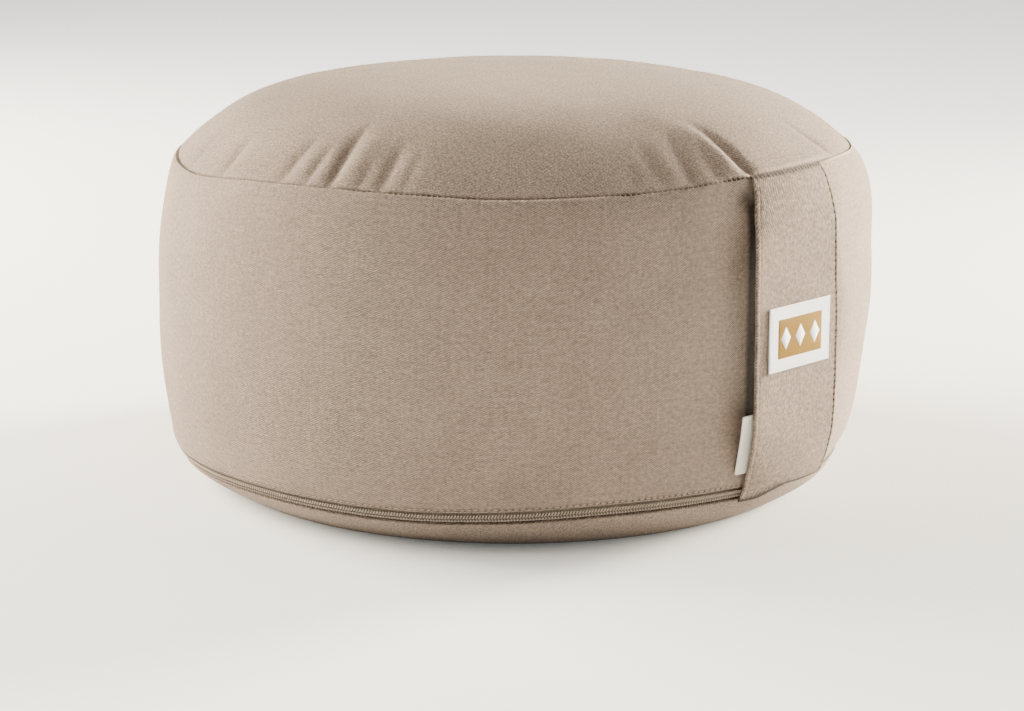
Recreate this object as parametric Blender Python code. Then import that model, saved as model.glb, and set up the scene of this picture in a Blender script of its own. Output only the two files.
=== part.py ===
"""A round, drum-shaped meditation cushion with a carrying strap, a label, a side tag and a zip.

Metres, +Z up. The origin is the centre of the flat face that the cushion rests on, +Z is the axis of
the drum, and the strap stands on the +X side. A bearing is an angle about +Z in degrees, counted from
the strap and growing anticlockwise seen from above. The tables and sizes are in millimetres.
"""

import math
from typing import Callable, NamedTuple, Sequence

import bmesh
import bpy

MM = 0.001
FULL_TURN = 360.0

# ---------------------------------------------------------------- driving sizes of the cushion (mm)
TOP_SEAM_RADIUS = 165.0
TOP_SEAM_HEIGHT = 161.3
LOWER_SEAM_RADIUS = 170.2
LOWER_SEAM_HEIGHT = 21.8
REST_RADIUS = 148.0  # edge of the flat face on the floor
REST_ROUNDNESS = 0.98  # below 1 the bottom panel leaves the floor tangentially
BAND_BULGE = 10.8
BAND_BULGE_SKEW = 1.25  # above 1 the fullest part of the wall lies higher
BAND_BULGE_FULLNESS = 0.55  # below 1 the wall turns in sharply at the seams
CROWN_RISE = 32.9
CROWN_FULLNESS = 4.6  # exponent of the crown: higher is flatter in the middle, steeper at the rim
SEAM_GROOVE = 1.0
SEAM_EDGE = 0.7  # half the height of the crease at the top seam
SEAM_HOLD = 0.05  # share of the band beside a seam over which its unevenness fades

# ---------------------------------------------------------------- the zip's channel (mm)
ZIP_FROM, ZIP_TO = -171.0, -6.0  # bearings of the zip's two ends: it ends under the strap
CHANNEL_FADE = 6.0  # degrees over which the channel closes to a plain seam
CHANNEL_FROM, CHANNEL_TO = ZIP_FROM - CHANNEL_FADE - 1.0, ZIP_TO + CHANNEL_FADE + 1.0
CHANNEL_DROP = 6.4  # height of the open channel, from the band's lip to the bottom panel
PLAIN_SEAM_DROP = 2.2
CHANNEL_DEPTH = 2.4
ZIP_EDGE_CLEARANCE = 0.8
TAPE_FLOOR, TAPE_FACE = -2.1, -1.1  # depths across the channel, 0 at its mouth
COIL_BACK, COIL_JOIN, COIL_SHOULDER, COIL_LOWER_FACE, COIL_FACE = -0.8, -0.5, -0.35, -0.05, 0.1

# ---------------------------------------------------------------- strap, label and tag (mm)
STRAP_THICKNESS = 2.0
STRAP_FROM, STRAP_TO = 2.2, 149.5  # heights below the top seam that the strap runs between
STRAP_SEAT_X = 175.0  # the wall is pressed flat to this plane behind the strap
SEAT_SOFTNESS = 1.0
SEAT_SWING = 30.0  # bearings past this are clear of the strap
SEAT_FOOT, SEAT_FOOT_FADE = 0.06, 0.22  # share of the band where the seat starts, and over which
SEAT_HEAD, SEAT_HEAD_FADE = 0.95, 0.20
LABEL_WIDTH, LABEL_HEIGHT = 43.2, 29.6
LABEL_CENTRE_Y, LABEL_CENTRE_Z = -1.2, 92.4
LABEL_THICKNESS = 1.0
TAG_HEIGHT, TAG_SHOWN, TAG_HIDDEN = 29.5, 5.2, 8.0
TAG_CENTRE_Z = 44.6
TAG_THICKNESS = 1.0
PIECE_GAP = 0.3
TAG_GAP = 0.45

# ---------------------------------------------------------------- the puckers of the top panel
ROLL_OFFSET, ROLL_WIDTH = 2.1, 1.2  # a valley's roll beside it, in pucker widths
PUCKER_EDGE = 5.0  # pucker widths past which it has no effect
PUCKER_AT_SEAM = 0.4  # share of its depth that it has at the seam
PUCKER_RISE = 8.0  # distance from the seam where it is at its full depth (mm)
PUCKER_HOLD = 0.3  # share of its reach before it starts to fade

# ---------------------------------------------------------------- how finely each part is divided
WALL_STEP = 3.0  # degrees between the columns of the wall and of the zip
PUCKER_COLUMNS = (-2.0, -1.0, 0.0, 1.0, 2.0)  # in pucker widths
COLUMN_CLEARANCE = 0.9  # degrees that a plain column keeps from a pucker's own
RIM_ROWS = (3.2, 7.0, 11.5, 17.0, 24.0, 33.0)  # distance in from the top seam
CROWN_RINGS = ((0.66, 72), (0.50, 72), (0.30, 36), (0.13, 18))  # (share of the radius, columns)
BAND_ROWS = (0.0, 0.03, 0.08, 0.16, 0.28, 0.42, 0.56, 0.70, 0.82, 0.91, 0.965, 0.992)
REST_ROWS = (0.05, 0.18, 0.42)
STRAP_STATIONS = 26
STRAP_COLUMNS = 6
LABEL_DIVISIONS = 6
TAG_DIVISIONS = 5
NORMAL_STEP = 0.012  # share of the band over which its slope is taken
RUN_STEP = 0.8  # length of the strap over which its slope is taken (mm)
CHANNEL_CORNER = 0.08  # share of the channel's height that its rounded corners take
SMOOTH_ANGLE = 40.0  # degrees: sharper edges than this stay sharp


class Bell(NamedTuple):
    """A bell-shaped weight: its middle and its width, both as shares."""

    middle: float
    width: float

    def at(self, share: float) -> float:
        """The weight, 1 in the middle."""
        return math.exp(-(((share - self.middle) / self.width) ** 2))


class SeamWaver(NamedTuple):
    """How a seam strays from its level circle at one bearing."""

    bearing: float
    lift: float
    out: float


class BodyForm(NamedTuple):
    """How much fuller the cushion is at one bearing: low, half-way and high on its wall, and on its crown."""

    bearing: float
    foot: float
    belly: float
    head: float
    shoulder: float


class Pucker(NamedTuple):
    """A valley in the top panel that runs from the seam towards the crown."""

    bearing: float
    sway: float  # degrees that its crown end lies from its seam end
    depth: float
    width: float
    reach: float
    ridge: float  # side and share of the roll beside the valley: negative is at the lower bearing


class Dimple(NamedTuple):
    """A shallow hollow in the wall."""

    bearing: float
    height: float
    depth: float
    half_width: float
    half_height: float


class StrapRow(NamedTuple):
    """One section of the strap, by its height as a share of the band."""

    share: float
    gap: float  # between the wall and the strap's inner face
    centre_y: float
    half_width: float
    curl: float  # 1 follows the round wall across its width, 0 is flat


class CoilPoint(NamedTuple):
    """A corner of the closed coil's section."""

    share: float  # of the coil's height, 0 at its lower edge
    depth: float  # across the channel, 0 at its mouth


WALL_BELLS = {"foot": Bell(0.12, 0.16), "belly": Bell(0.50, 0.25), "head": Bell(0.86, 0.14)}  # of the band
SHOULDER_BELL = Bell(0.82, 0.12)  # of the top panel's radius
TOP_SEAM = (
    SeamWaver(-127.0, -4.3, 0.0),
    SeamWaver(-110.0, -5.0, 0.0),
    SeamWaver(-100.0, -3.0, 0.0),
    SeamWaver(-90.0, -0.8, 0.0),
    SeamWaver(-78.0, 0.3, 0.0),
    SeamWaver(-60.0, 0.0, 0.0),
    SeamWaver(-48.0, -1.3, 0.0),
    SeamWaver(-34.0, -0.6, 0.0),
    SeamWaver(-21.0, 0.4, 0.0),
    SeamWaver(-11.0, 2.6, 1.6),
    SeamWaver(0.0, 3.2, 2.2),
    SeamWaver(9.0, 3.4, 1.6),
    SeamWaver(20.0, 2.6, 0.0),
    SeamWaver(38.0, 0.0, 0.0),
    SeamWaver(80.0, -1.0, 0.0),
    SeamWaver(130.0, 1.0, 0.0),
    SeamWaver(180.0, -1.0, 0.0),
)
LOWER_SEAM = (
    SeamWaver(-134.0, -3.6, 0.0),
    SeamWaver(-116.0, -3.8, 0.0),
    SeamWaver(-104.0, -2.8, 0.0),
    SeamWaver(-90.0, -1.7, 0.0),
    SeamWaver(-62.0, -1.8, 0.0),
    SeamWaver(-47.0, -0.3, 0.0),
    SeamWaver(-30.0, 1.6, 0.0),
    SeamWaver(-10.0, 1.2, 0.0),
    SeamWaver(10.0, -1.0, 0.0),
    SeamWaver(25.0, -2.5, -5.0),
    SeamWaver(45.0, -2.0, -7.5),
    SeamWaver(90.0, 0.0, -3.0),
    SeamWaver(135.0, 1.0, 0.0),
    SeamWaver(180.0, -1.0, 1.0),
)
BODY_FORM = (
    BodyForm(-127.0, -1.0, -2.2, -1.0, 1.6),
    BodyForm(-80.0, 0.0, -0.8, 0.0, 0.4),
    BodyForm(-40.0, 0.0, 0.0, 0.0, 0.0),
    BodyForm(0.0, 0.0, 0.5, 0.5, 0.0),
    BodyForm(37.0, 2.4, 3.0, 3.4, 0.0),
    BodyForm(90.0, 0.5, 0.8, 1.0, 0.0),
    BodyForm(160.0, 0.5, -0.8, 0.0, 1.0),
)
PUCKERS = (
    Pucker(-113.0, -3.5, 1.0, 4.5, 24.0, 0.5),
    Pucker(-99.5, -2.8, 1.6, 5.0, 28.0, 0.4),
    Pucker(-84.3, 0.3, 1.6, 4.5, 30.0, 0.5),
    Pucker(-79.4, 0.2, 1.6, 3.6, 26.0, 0.5),
    Pucker(-74.9, -0.9, 3.0, 4.2, 42.0, 0.7),
    Pucker(-69.6, 0.3, 1.2, 3.2, 18.0, 0.4),
    Pucker(-66.1, 0.8, 2.2, 4.8, 32.0, 0.5),
    Pucker(-62.3, 1.2, 1.0, 4.0, 26.0, 0.4),
    Pucker(-25.6, -0.6, 0.8, 4.0, 20.0, -0.4),
    Pucker(-21.4, -0.3, 1.4, 4.5, 28.0, -0.5),
    Pucker(-16.6, 1.8, 2.2, 5.2, 34.0, -0.6),
    Pucker(-11.8, 1.4, 1.6, 5.0, 28.0, -0.3),
    Pucker(-5.8, -2.2, 3.0, 3.6, 40.0, -0.9),
    Pucker(19.7, -2.1, 1.8, 4.0, 30.0, -0.5),
    Pucker(44.0, 1.0, 1.5, 5.0, 28.0, 0.5),
    Pucker(62.0, -1.0, 2.2, 5.0, 36.0, -0.5),
    Pucker(71.0, 1.5, 1.4, 4.5, 26.0, 0.4),
    Pucker(98.0, 0.5, 2.6, 5.0, 40.0, 0.6),
    Pucker(106.0, -1.0, 1.3, 4.5, 26.0, -0.4),
    Pucker(133.0, 1.5, 1.8, 5.0, 32.0, 0.5),
    Pucker(151.0, -1.0, 2.4, 5.0, 36.0, -0.6),
    Pucker(176.0, 1.0, 1.6, 4.5, 30.0, 0.5),
    Pucker(-164.0, -1.5, 2.0, 5.0, 34.0, -0.5),
    Pucker(-141.0, 1.0, 1.5, 4.5, 28.0, 0.5),
)
DIMPLES = (
    Dimple(-12.0, 151.0, 2.0, 9.0, 11.0),
    Dimple(11.5, 152.0, 0.8, 7.0, 10.0),
)
STRAP = (
    StrapRow(1.000, 0.45, 6.5, 26.5, 1.0),
    StrapRow(0.960, 0.90, 4.8, 26.6, 1.0),
    StrapRow(0.880, 2.70, 1.0, 27.6, 0.8),
    StrapRow(0.780, 4.60, -2.0, 28.4, 0.35),
    StrapRow(0.500, 4.60, -0.8, 29.3, 0.0),
    StrapRow(0.260, 4.60, -0.8, 29.2, 0.1),
    StrapRow(0.130, 2.90, 0.8, 29.0, 0.5),
    StrapRow(0.040, 1.20, 3.5, 29.0, 0.9),
    StrapRow(0.000, 0.70, 5.0, 29.0, 1.0),
)
COIL_SECTION = (
    CoilPoint(0.02, COIL_BACK),
    CoilPoint(0.04, COIL_SHOULDER),
    CoilPoint(0.18, COIL_LOWER_FACE),
    CoilPoint(0.34, COIL_LOWER_FACE),
    CoilPoint(0.44, COIL_JOIN),
    CoilPoint(0.54, COIL_FACE),
    CoilPoint(0.86, COIL_FACE),
    CoilPoint(0.98, COIL_SHOULDER),
    CoilPoint(0.98, COIL_BACK),
)


# ---------------------------------------------------------------- curves
def smooth(value: float) -> float:
    """An S-shaped step from 0 to 1, flat outside."""
    t = min(1.0, max(0.0, value))
    return t * t * (3.0 - 2.0 * t)


def hermite(x: float, x0: float, x1: float, y0: float, y1: float, m0: float, m1: float) -> float:
    """The cubic through two points with the slopes m0 and m1."""
    width = x1 - x0
    t = (x - x0) / width
    rest = 1.0 - t
    return (
        y0 * (1.0 + 2.0 * t) * rest * rest
        + y1 * t * t * (3.0 - 2.0 * t)
        + width * (m0 * t * rest * rest - m1 * t * t * rest)
    )


def through(xs: Sequence[float], ys: Sequence[float], x: float) -> float:
    """A smooth curve through points with rising xs, straight past its ends."""
    last = len(xs) - 1
    slopes = [
        (ys[min(i + 1, last)] - ys[max(i - 1, 0)]) / (xs[min(i + 1, last)] - xs[max(i - 1, 0)])
        for i in range(last + 1)
    ]
    if x <= xs[0]:
        return ys[0] + slopes[0] * (x - xs[0])
    if x >= xs[last]:
        return ys[last] + slopes[last] * (x - xs[last])
    i = next(k for k in range(last) if x <= xs[k + 1])
    return hermite(x, xs[i], xs[i + 1], ys[i], ys[i + 1], slopes[i], slopes[i + 1])


def around(rows: Sequence[NamedTuple], column: str, bearing: float) -> float:
    """A table's column at a bearing, on a smooth curve that closes on itself after a full turn."""
    points = sorted((row.bearing, getattr(row, column)) for row in rows)
    ring = [(b - FULL_TURN, v) for b, v in points] + points + [(b + FULL_TURN, v) for b, v in points]
    turned = (bearing + 180.0) % FULL_TURN - 180.0
    return through([b for b, _ in ring], [v for _, v in ring], turned)


def turn_between(a: float, b: float) -> float:
    """The signed angle from bearing b to bearing a, within half a turn."""
    return (a - b + 180.0) % FULL_TURN - 180.0


# ---------------------------------------------------------------- the cushion's surface
def top_seam(bearing: float) -> tuple[float, float]:
    """(radius, height) of the top seam."""
    return (
        TOP_SEAM_RADIUS + around(TOP_SEAM, "out", bearing),
        TOP_SEAM_HEIGHT + around(TOP_SEAM, "lift", bearing),
    )


def lower_seam(bearing: float) -> tuple[float, float]:
    """(radius, height) of the band's lower edge, the lip over the zip."""
    return (
        LOWER_SEAM_RADIUS + around(LOWER_SEAM, "out", bearing),
        LOWER_SEAM_HEIGHT + around(LOWER_SEAM, "lift", bearing),
    )


def wall_fullness(bearing: float, share: float) -> float:
    """The uneven part of the wall's bulge, from the table's three heights."""
    extra = sum(around(BODY_FORM, column, bearing) * bell.at(share) for column, bell in WALL_BELLS.items())
    return extra * smooth(share / SEAM_HOLD) * smooth((1.0 - share) / SEAM_HOLD)


def pressed_flat(radius: float, bearing: float, share: float) -> float:
    """The wall's radius once the strap has pressed it to a flat seat."""
    swing = turn_between(bearing, 0.0)
    if abs(swing) > SEAT_SWING:
        return radius
    flat = STRAP_SEAT_X / math.cos(math.radians(swing))
    over = radius - flat
    pressed = 0.5 * (over + math.hypot(over, SEAT_SOFTNESS))
    window = smooth((share - SEAT_FOOT) / SEAT_FOOT_FADE) * smooth((SEAT_HEAD - share) / SEAT_HEAD_FADE)
    return radius - window * pressed


def dimpled(bearing: float, height: float) -> float:
    """Depth of the wall's hollows at a place."""
    depth = 0.0
    for dimple in DIMPLES:
        across = math.radians(turn_between(bearing, dimple.bearing)) * TOP_SEAM_RADIUS / dimple.half_width
        up = (height - dimple.height) / dimple.half_height
        depth += dimple.depth * math.exp(-(across**2 + up**2))
    return depth


def band_point(bearing: float, share: float) -> tuple[float, float]:
    """(radius, height) on the side band, share 0 at its lower edge and 1 at the top seam."""
    foot_radius, foot_height = lower_seam(bearing)
    head_radius, head_height = top_seam(bearing)
    height = foot_height + share * (head_height - foot_height)
    radius = foot_radius + share * (head_radius - foot_radius)
    bow = math.sin(math.pi * min(1.0, share) ** BAND_BULGE_SKEW)
    radius += BAND_BULGE * max(0.0, bow) ** BAND_BULGE_FULLNESS
    radius += wall_fullness(bearing, share)
    return pressed_flat(radius, bearing, share) - dimpled(bearing, height), height


def puckered(bearing: float, radius: float, inward: float) -> float:
    """Height of the puckers above the plain top panel, inward being the distance from the seam."""
    height = 0.0
    for pucker in PUCKERS:
        if inward >= pucker.reach:
            continue
        line = pucker.bearing + pucker.sway * inward / pucker.reach
        across = math.radians(turn_between(bearing, line)) * radius / pucker.width
        if abs(across) > PUCKER_EDGE:
            continue
        roll = Bell(math.copysign(ROLL_OFFSET, pucker.ridge), ROLL_WIDTH)
        relief = abs(pucker.ridge) * roll.at(across) - math.exp(-(across**2))
        start = PUCKER_AT_SEAM + (1.0 - PUCKER_AT_SEAM) * smooth(inward / PUCKER_RISE)
        fade = 1.0 - smooth((inward / pucker.reach - PUCKER_HOLD) / (1.0 - PUCKER_HOLD))
        height += pucker.depth * relief * start * fade
    return height


def crown_point(bearing: float, inward: float) -> tuple[float, float]:
    """(radius, height) on the top panel, inward being the distance from the top seam."""
    seam_radius, seam_height = top_seam(bearing)
    radius = seam_radius - inward
    share = radius / seam_radius
    lifted = (seam_height - TOP_SEAM_HEIGHT) * share**3
    shoulder = around(BODY_FORM, "shoulder", bearing) * SHOULDER_BELL.at(share)
    height = TOP_SEAM_HEIGHT + lifted + shoulder + CROWN_RISE * (1.0 - share**CROWN_FULLNESS)
    return radius, height + puckered(bearing, radius, inward)


def channel_openness(bearing: float) -> float:
    """1 where the zip's channel is open, 0 where the lower seam is plain."""
    middle = 0.5 * (CHANNEL_FROM + CHANNEL_TO)
    half = 0.5 * (CHANNEL_TO - CHANNEL_FROM)
    return smooth((half - abs(turn_between(bearing, middle))) / CHANNEL_FADE)


def rest_point(bearing: float, height: float) -> tuple[float, float]:
    """(radius, height) on the bottom panel between the floor and the lower seam."""
    seam_radius, seam_height = lower_seam(bearing)
    rise = math.sin(0.5 * math.pi * height / seam_height) ** REST_ROUNDNESS if height > 0.0 else 0.0
    return REST_RADIUS + (seam_radius - REST_RADIUS) * rise, height


def channel_point(bearing: float, along: float, depth: float) -> tuple[float, float]:
    """(radius, height) in the channel: along runs from the bottom panel's edge to the band's lip.

    depth is positive outwards from the channel's mouth. along is a share of the channel's height.
    """
    lip_radius, lip_height = lower_seam(bearing)
    drop = PLAIN_SEAM_DROP + (CHANNEL_DROP - PLAIN_SEAM_DROP) * channel_openness(bearing)
    edge_radius, edge_height = rest_point(bearing, lip_height - drop)
    run, climb = lip_radius - edge_radius, lip_height - edge_height
    length = math.hypot(run, climb)
    return (
        edge_radius + along * run + depth * climb / length,
        edge_height + along * climb - depth * run / length,
    )


def channel_floor(bearing: float) -> float:
    """Depth of the channel's floor."""
    openness = channel_openness(bearing)
    return -(SEAM_GROOVE + (CHANNEL_DEPTH - SEAM_GROOVE) * openness)


# ---------------------------------------------------------------- the strap's surface
class StrapSection(NamedTuple):
    """Where the strap's inner face is at one station, and which way is out."""

    x: float
    z: float
    out_x: float
    out_z: float
    centre_y: float
    half_width: float
    curl: float


def strap_row(share: float) -> StrapRow:
    """The strap's table at any share of the band's height, held at its ends."""
    rows = STRAP[::-1]
    held = min(1.0, max(0.0, share))
    shares = [row.share for row in rows]
    values = [through(shares, [row[column] for row in rows], held) for column in range(1, len(rows[0]))]
    return StrapRow(held, *values)


def band_height() -> float:
    """The height of the band behind the strap."""
    return top_seam(0.0)[1] - lower_seam(0.0)[1]


def strap_share(run: float) -> float:
    """The share of the band's height at a run, below 0 where the strap has passed the band's lip."""
    return 1.0 - run / band_height()


def strap_line(run: float, bearing: float) -> tuple[float, float]:
    """(radius, height) of the strap's inner face where it follows the wall at a bearing."""
    share = strap_share(run)
    gap = strap_row(share).gap
    if share >= 0.0:
        radius, height = band_point(bearing, share)
        above = band_point(bearing, min(1.0, share + NORMAL_STEP))
        below = band_point(bearing, max(0.0, share - NORMAL_STEP))
        run_out, climb = above[0] - below[0], above[1] - below[1]
        length = math.hypot(run_out, climb)
        return radius + gap * climb / length, height - gap * run_out / length
    past = -share * band_height()
    return channel_point(bearing, 1.0 - past / CHANNEL_DROP, gap)


def strap_section(run: float) -> StrapSection:
    """The strap's section at a run, with its outward direction across the cloth."""
    low = strap_line(min(STRAP_TO, run + RUN_STEP), 0.0)
    high = strap_line(max(STRAP_FROM, run - RUN_STEP), 0.0)
    x, z = strap_line(run, 0.0)
    dx, dz = high[0] - low[0], high[1] - low[1]
    size = math.hypot(dx, dz)
    row = strap_row(strap_share(run))
    return StrapSection(x, z, dz / size, -dx / size, row.centre_y, row.half_width, row.curl)


def on_strap(run: float, y: float, off: float) -> tuple[float, float, float]:
    """A point off the strap's inner face by off, at y across from the +X plane."""
    section = strap_section(run)
    swing = math.asin(y / section.x)
    radius, height = strap_line(run, math.degrees(swing))
    x = section.x + section.curl * (radius * math.cos(swing) - section.x)
    z = section.z + section.curl * (height - section.z)
    return x + off * section.out_x, y, z + off * section.out_z


# ---------------------------------------------------------------- mesh making
Ring = list[bmesh.types.BMVert]
RingPoint = Callable[[float], tuple[float, float]]


def ring_of(mesh: bmesh.types.BMesh, bearings: Sequence[float], point: RingPoint) -> Ring:
    """A closed ring of vertices at these bearings, each where point says in (radius, height)."""
    ring = []
    for bearing in bearings:
        radius, height = point(bearing)
        angle = math.radians(bearing)
        place = (radius * math.cos(angle), radius * math.sin(angle), height)
        ring.append(mesh.verts.new([value * MM for value in place]))
    return ring


def join_equal(mesh: bmesh.types.BMesh, lower: Ring, upper: Ring) -> None:
    """Quads between two rings with the same bearings, facing out."""
    count = len(lower)
    for i in range(count):
        j = (i + 1) % count
        mesh.faces.new((lower[i], lower[j], upper[j], upper[i]))


def join_uneven(
    mesh: bmesh.types.BMesh,
    lower: Ring,
    lower_bearings: Sequence[float],
    upper: Ring,
    upper_bearings: Sequence[float],
) -> None:
    """Triangles between two rings whose bearings differ, both rising from about the same start."""
    i = j = 0
    while i < len(lower) or j < len(upper):
        next_low = lower_bearings[i + 1] if i + 1 < len(lower) else lower_bearings[0] + FULL_TURN
        next_high = upper_bearings[j + 1] if j + 1 < len(upper) else upper_bearings[0] + FULL_TURN
        here, there = lower[i % len(lower)], upper[j % len(upper)]
        if j >= len(upper) or (i < len(lower) and next_low <= next_high):
            mesh.faces.new((here, lower[(i + 1) % len(lower)], there))
            i += 1
        else:
            mesh.faces.new((here, upper[(j + 1) % len(upper)], there))
            j += 1


def even_bearings(count: int) -> list[float]:
    """Bearings of evenly spaced columns, the first opposite the strap."""
    return [-180.0 + FULL_TURN * i / count for i in range(count)]


def rim_bearings() -> list[float]:
    """The top panel's columns: each pucker's own, and plain ones between."""
    own = [
        turn_between(pucker.bearing + math.degrees(offset * pucker.width / TOP_SEAM_RADIUS), 0.0)
        for pucker in PUCKERS
        for offset in PUCKER_COLUMNS
    ]
    kept: list[float] = []
    for bearing in sorted(own):
        if not kept or bearing - kept[-1] > 0.5 * COLUMN_CLEARANCE:
            kept.append(bearing)
    plain = [
        bearing
        for bearing in even_bearings(round(FULL_TURN / WALL_STEP))
        if all(abs(turn_between(bearing, other)) > COLUMN_CLEARANCE for other in kept)
    ]
    return sorted(kept + plain)


def finish_object(name: str, mesh: bmesh.types.BMesh, finish: bpy.types.Material) -> bpy.types.Object:
    """The mesh as a named object with its material, faces out and round parts shaded smooth."""
    bmesh.ops.recalc_face_normals(mesh, faces=mesh.faces[:])
    data = bpy.data.meshes.new(name)
    mesh.to_mesh(data)
    mesh.free()
    data.materials.append(finish)
    data.shade_smooth()
    data.set_sharp_from_angle(angle=math.radians(SMOOTH_ANGLE))
    made = bpy.data.objects.new(name, data)
    bpy.context.scene.collection.objects.link(made)
    return made


def cloth_material(name: str, colour: Sequence[float], roughness: float) -> bpy.types.Material:
    """A plain Principled material in the piece's colour."""
    material = bpy.data.materials.new(name)
    material.use_nodes = True
    shader = material.node_tree.nodes["Principled BSDF"]
    shader.inputs["Base Color"].default_value = (*colour, 1.0)
    shader.inputs["Roughness"].default_value = roughness
    shader.inputs["Metallic"].default_value = 0.0
    return material


# ---------------------------------------------------------------- the pieces
def make_cushion_body(finish: bpy.types.Material) -> bpy.types.Object:
    """The filled drum: flat rest, bottom panel, zip channel, band, top seam and puckered crown."""
    mesh = bmesh.new()
    columns = even_bearings(round(FULL_TURN / WALL_STEP))
    rows: list[RingPoint] = [lambda b: (REST_RADIUS, 0.0)]
    for share in REST_ROWS:
        rows.append(lambda b, s=share: rest_point(b, s * lower_seam(b)[1]))
    rows.append(lambda b: channel_point(b, 0.0, 0.0))
    for along in (CHANNEL_CORNER, 1.0 - CHANNEL_CORNER):
        rows.append(lambda b, a=along: channel_point(b, a, channel_floor(b)))
    for share in BAND_ROWS:
        rows.append(lambda b, s=share: band_point(b, s))
    rows.append(lambda b: (top_seam(b)[0] - SEAM_GROOVE, top_seam(b)[1]))
    rings = [ring_of(mesh, columns, row) for row in rows]
    mesh.faces.new(rings[0][::-1])
    for lower, upper in zip(rings, rings[1:]):
        join_equal(mesh, lower, upper)

    rim_columns = rim_bearings()
    edge = ring_of(mesh, rim_columns, lambda b: crown_point(b, SEAM_EDGE))
    join_uneven(mesh, rings[-1], columns, edge, rim_columns)
    for inward in RIM_ROWS:
        upper = ring_of(mesh, rim_columns, lambda b, d=inward: crown_point(b, d))
        join_equal(mesh, edge, upper)
        edge = upper
    edge_columns = rim_columns
    for share, count in CROWN_RINGS:
        upper_columns = even_bearings(count)
        upper = ring_of(mesh, upper_columns, lambda b, s=share: crown_point(b, top_seam(b)[0] * (1.0 - s)))
        join_uneven(mesh, edge, edge_columns, upper, upper_columns)
        edge, edge_columns = upper, upper_columns
    crest = mesh.verts.new((0.0, 0.0, (TOP_SEAM_HEIGHT + CROWN_RISE) * MM))
    for i, vertex in enumerate(edge):
        mesh.faces.new((vertex, edge[(i + 1) % len(edge)], crest))
    return finish_object("cushion_body", mesh, finish)


def make_sheet_strip(
    name: str,
    runs: Sequence[float],
    across: Callable[[float], Sequence[float]],
    inner: float,
    thickness: float,
    finish: bpy.types.Material,
) -> bpy.types.Object:
    """A strip of cloth that lies along the strap: inner is its back's distance off the strap's inner face."""
    mesh = bmesh.new()
    loops = []
    for run in runs:
        ys = across(run)
        back = [on_strap(run, y, inner) for y in ys]
        face = [on_strap(run, y, inner + thickness) for y in reversed(ys)]
        loops.append([mesh.verts.new([value * MM for value in place]) for place in back + face])
    for upper, lower in zip(loops, loops[1:]):
        join_equal(mesh, lower, upper)
    mesh.faces.new(loops[0])
    mesh.faces.new(loops[-1][::-1])
    return finish_object(name, mesh, finish)


def make_handle_strap(finish: bpy.types.Material) -> bpy.types.Object:
    """The doubled strip from the top seam down over the wall and the zip's end to the lower seam."""

    def across(run: float) -> list[float]:
        section = strap_section(run)
        return [
            section.centre_y + section.half_width * (2.0 * i / STRAP_COLUMNS - 1.0)
            for i in range(STRAP_COLUMNS + 1)
        ]

    runs = [STRAP_FROM + (STRAP_TO - STRAP_FROM) * i / (STRAP_STATIONS - 1) for i in range(STRAP_STATIONS)]
    return make_sheet_strip("handle_strap", runs, across, 0.0, STRAP_THICKNESS, finish)


def run_at_height(height: float) -> float:
    """The run along the strap at a height on the wall."""
    return top_seam(0.0)[1] - height


def make_label_patch(finish: bpy.types.Material) -> bpy.types.Object:
    """The flat patch on the strap's face."""
    top = run_at_height(LABEL_CENTRE_Z + 0.5 * LABEL_HEIGHT)
    shares = [i / LABEL_DIVISIONS for i in range(LABEL_DIVISIONS + 1)]
    runs = [top + LABEL_HEIGHT * share for share in shares]
    ys = [LABEL_CENTRE_Y + LABEL_WIDTH * (share - 0.5) for share in shares]
    inner = STRAP_THICKNESS + PIECE_GAP
    return make_sheet_strip("label_patch", runs, lambda run: ys, inner, LABEL_THICKNESS, finish)


def make_side_tag(finish: bpy.types.Material) -> bpy.types.Object:
    """The folded ribbon caught behind the strap's edge at the lower bearings."""
    top = run_at_height(TAG_CENTRE_Z + 0.5 * TAG_HEIGHT)
    runs = [top + TAG_HEIGHT * i / TAG_DIVISIONS for i in range(TAG_DIVISIONS + 1)]

    def across(run: float) -> list[float]:
        section = strap_section(run)
        edge = section.centre_y - section.half_width
        return [edge - TAG_SHOWN, edge - 0.5 * TAG_SHOWN, edge, edge + TAG_HIDDEN]

    inner = -TAG_GAP - TAG_THICKNESS
    return make_sheet_strip("side_tag", runs, across, inner, TAG_THICKNESS, finish)


def make_zip_strip(
    name: str, outline: Callable[[float], Sequence[tuple[float, float]]], finish: bpy.types.Material
) -> bpy.types.Object:
    """A strip in the channel whose section is an outline of (along, depth) points at each bearing."""
    mesh = bmesh.new()
    steps = round((ZIP_TO - ZIP_FROM) / WALL_STEP)
    loops = []
    for i in range(steps + 1):
        bearing = ZIP_FROM + WALL_STEP * i
        angle = math.radians(bearing)
        loop = []
        for along, depth in outline(bearing):
            radius, height = channel_point(bearing, along, depth)
            place = (radius * math.cos(angle), radius * math.sin(angle), height)
            loop.append(mesh.verts.new([value * MM for value in place]))
        loops.append(loop)
    for lower, upper in zip(loops, loops[1:]):
        join_equal(mesh, lower, upper)
    mesh.faces.new(loops[0])
    mesh.faces.new(loops[-1][::-1])
    return finish_object(name, mesh, finish)


def zip_span() -> tuple[float, float]:
    """The shares of the channel's height that the zip keeps within."""
    margin = ZIP_EDGE_CLEARANCE / CHANNEL_DROP
    return margin, 1.0 - margin


def make_zip_tape(finish: bpy.types.Material) -> bpy.types.Object:
    """The two tapes, edge to edge, as one flat strip on the channel's floor."""
    low, high = zip_span()
    section = ((low, TAPE_FLOOR), (low, TAPE_FACE), (high, TAPE_FACE), (high, TAPE_FLOOR))
    return make_zip_strip("zip_tape", lambda bearing: section, finish)


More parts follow.
